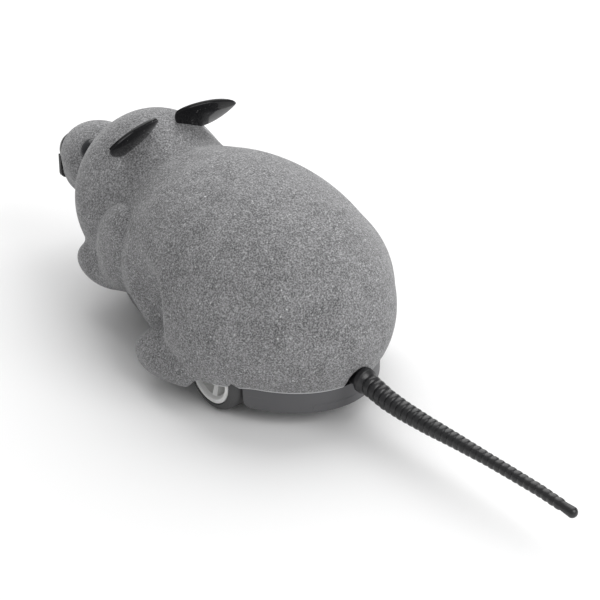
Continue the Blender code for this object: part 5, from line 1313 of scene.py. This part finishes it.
class MOUSETOY_OT_stage(bpy.types.Operator):
    """Set up the pale floor, the soft lights and the camera"""

    bl_idname = "mousetoy.stage"
    bl_label = "Set Up Stage"

    def execute(self, context):
        settings = context.scene.toy_stage
        bm = bmesh.new()
        half = settings.floor_half
        bm.faces.new([bm.verts.new(corner) for corner in
                      ((-half, -half, 0), (half, -half, 0), (half, half, 0), (-half, half, 0))])
        floor = bare_object("pale_floor", mesh_of(bm, "floor"))
        material, tree, shader = new_material("Pale Floor", Roughness=0.9, Specular_IOR_Level=0.1)
        patches = use_group(tree, "Mottle", Patch=0.2, Strength=0.3)
        pale = rgb(settings.pale)
        tree.feed(shader, "Base Color", tree.between(patches.outputs["Value"], pale, shaded(pale, 1.02)))
        floor.data.materials.append(material)
        world = bpy.data.worlds.new("Studio")
        world.use_nodes = True
        background = world.node_tree.nodes["Background"]
        background.inputs["Color"].default_value = (1, 1, 1, 1)
        background.inputs["Strength"].default_value = WORLD_STRENGTH
        context.scene.world = world
        context.scene.view_settings.view_transform = "Standard"
        for name, values in LIGHTS.items():
            area_light(name, *values)
        camera = bpy.data.objects.new("camera", bpy.data.cameras.new("camera"))
        context.scene.collection.objects.link(camera)
        turn = settings.azimuth
        lift = settings.elevation
        back = Vector((math.sin(turn) * math.cos(lift), -math.cos(turn) * math.cos(lift), math.sin(lift)))
        camera.location = LOOK_AT + back * settings.distance
        camera.rotation_mode = "QUATERNION"
        camera.rotation_quaternion = back.to_track_quat("Z", "Y")
        camera.data.lens = LENS
        camera.data.sensor_width = SENSOR
        camera.data.shift_x = SHIFT_RIGHT
        camera.data.shift_y = SHIFT_UP
        camera.data.clip_start = CLIP_NEAR
        camera.data.clip_end = CLIP_FAR
        context.scene.camera = camera
        return {"FINISHED"}


class MOUSETOY_PT_panel(bpy.types.Panel):
    """The steps that build the toy, with their settings"""

    bl_idname = "MOUSETOY_PT_panel"
    bl_label = "Mouse Toy"
    bl_space_type = "VIEW_3D"
    bl_region_type = "UI"
    bl_category = "Mouse Toy"

    def draw(self, context):
        for operator, group in STEPS:
            box = self.layout.box()
            box.operator(operator.bl_idname)
            if group:
                settings = getattr(context.scene, group)
                for name in settings.__annotations__:
                    box.prop(settings, name)


STEPS = (
    (MOUSETOY_OT_stage, "toy_stage"),
    (MOUSETOY_OT_shell, "toy_shell"),
    (MOUSETOY_OT_ears, "toy_ears"),
    (MOUSETOY_OT_face, "toy_face"),
    (MOUSETOY_OT_tail, "toy_tail"),
    (MOUSETOY_OT_rear_wheels, "toy_wheels"),
    (MOUSETOY_OT_front_wheels, None),
    (MOUSETOY_OT_door, None),
    (MOUSETOY_OT_wires, None),
    (MOUSETOY_OT_finish, "toy_finish"),
)


def register():
    for name, group in SETTINGS.items():
        bpy.utils.register_class(group)
        setattr(bpy.types.Scene, name, PointerProperty(type=group))
    for operator, _ in STEPS:
        bpy.utils.register_class(operator)
    bpy.utils.register_class(MOUSETOY_PT_panel)


def unregister():
    bpy.utils.unregister_class(MOUSETOY_PT_panel)
    for operator, _ in reversed(STEPS):
        bpy.utils.unregister_class(operator)
    for name, group in reversed(SETTINGS.items()):
        delattr(bpy.types.Scene, name)
        bpy.utils.unregister_class(group)


def main():
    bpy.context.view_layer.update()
    register()
    bpy.ops.mousetoy.stage()
    bpy.ops.mousetoy.shell()
    bpy.ops.mousetoy.ears()
    bpy.ops.mousetoy.face()
    bpy.ops.mousetoy.tail()
    bpy.ops.mousetoy.rear_wheels()
    bpy.ops.mousetoy.front_wheels()
    bpy.ops.mousetoy.door()
    bpy.ops.mousetoy.wires()
    bpy.ops.mousetoy.finish()


if __name__ == "__main__":
    main()
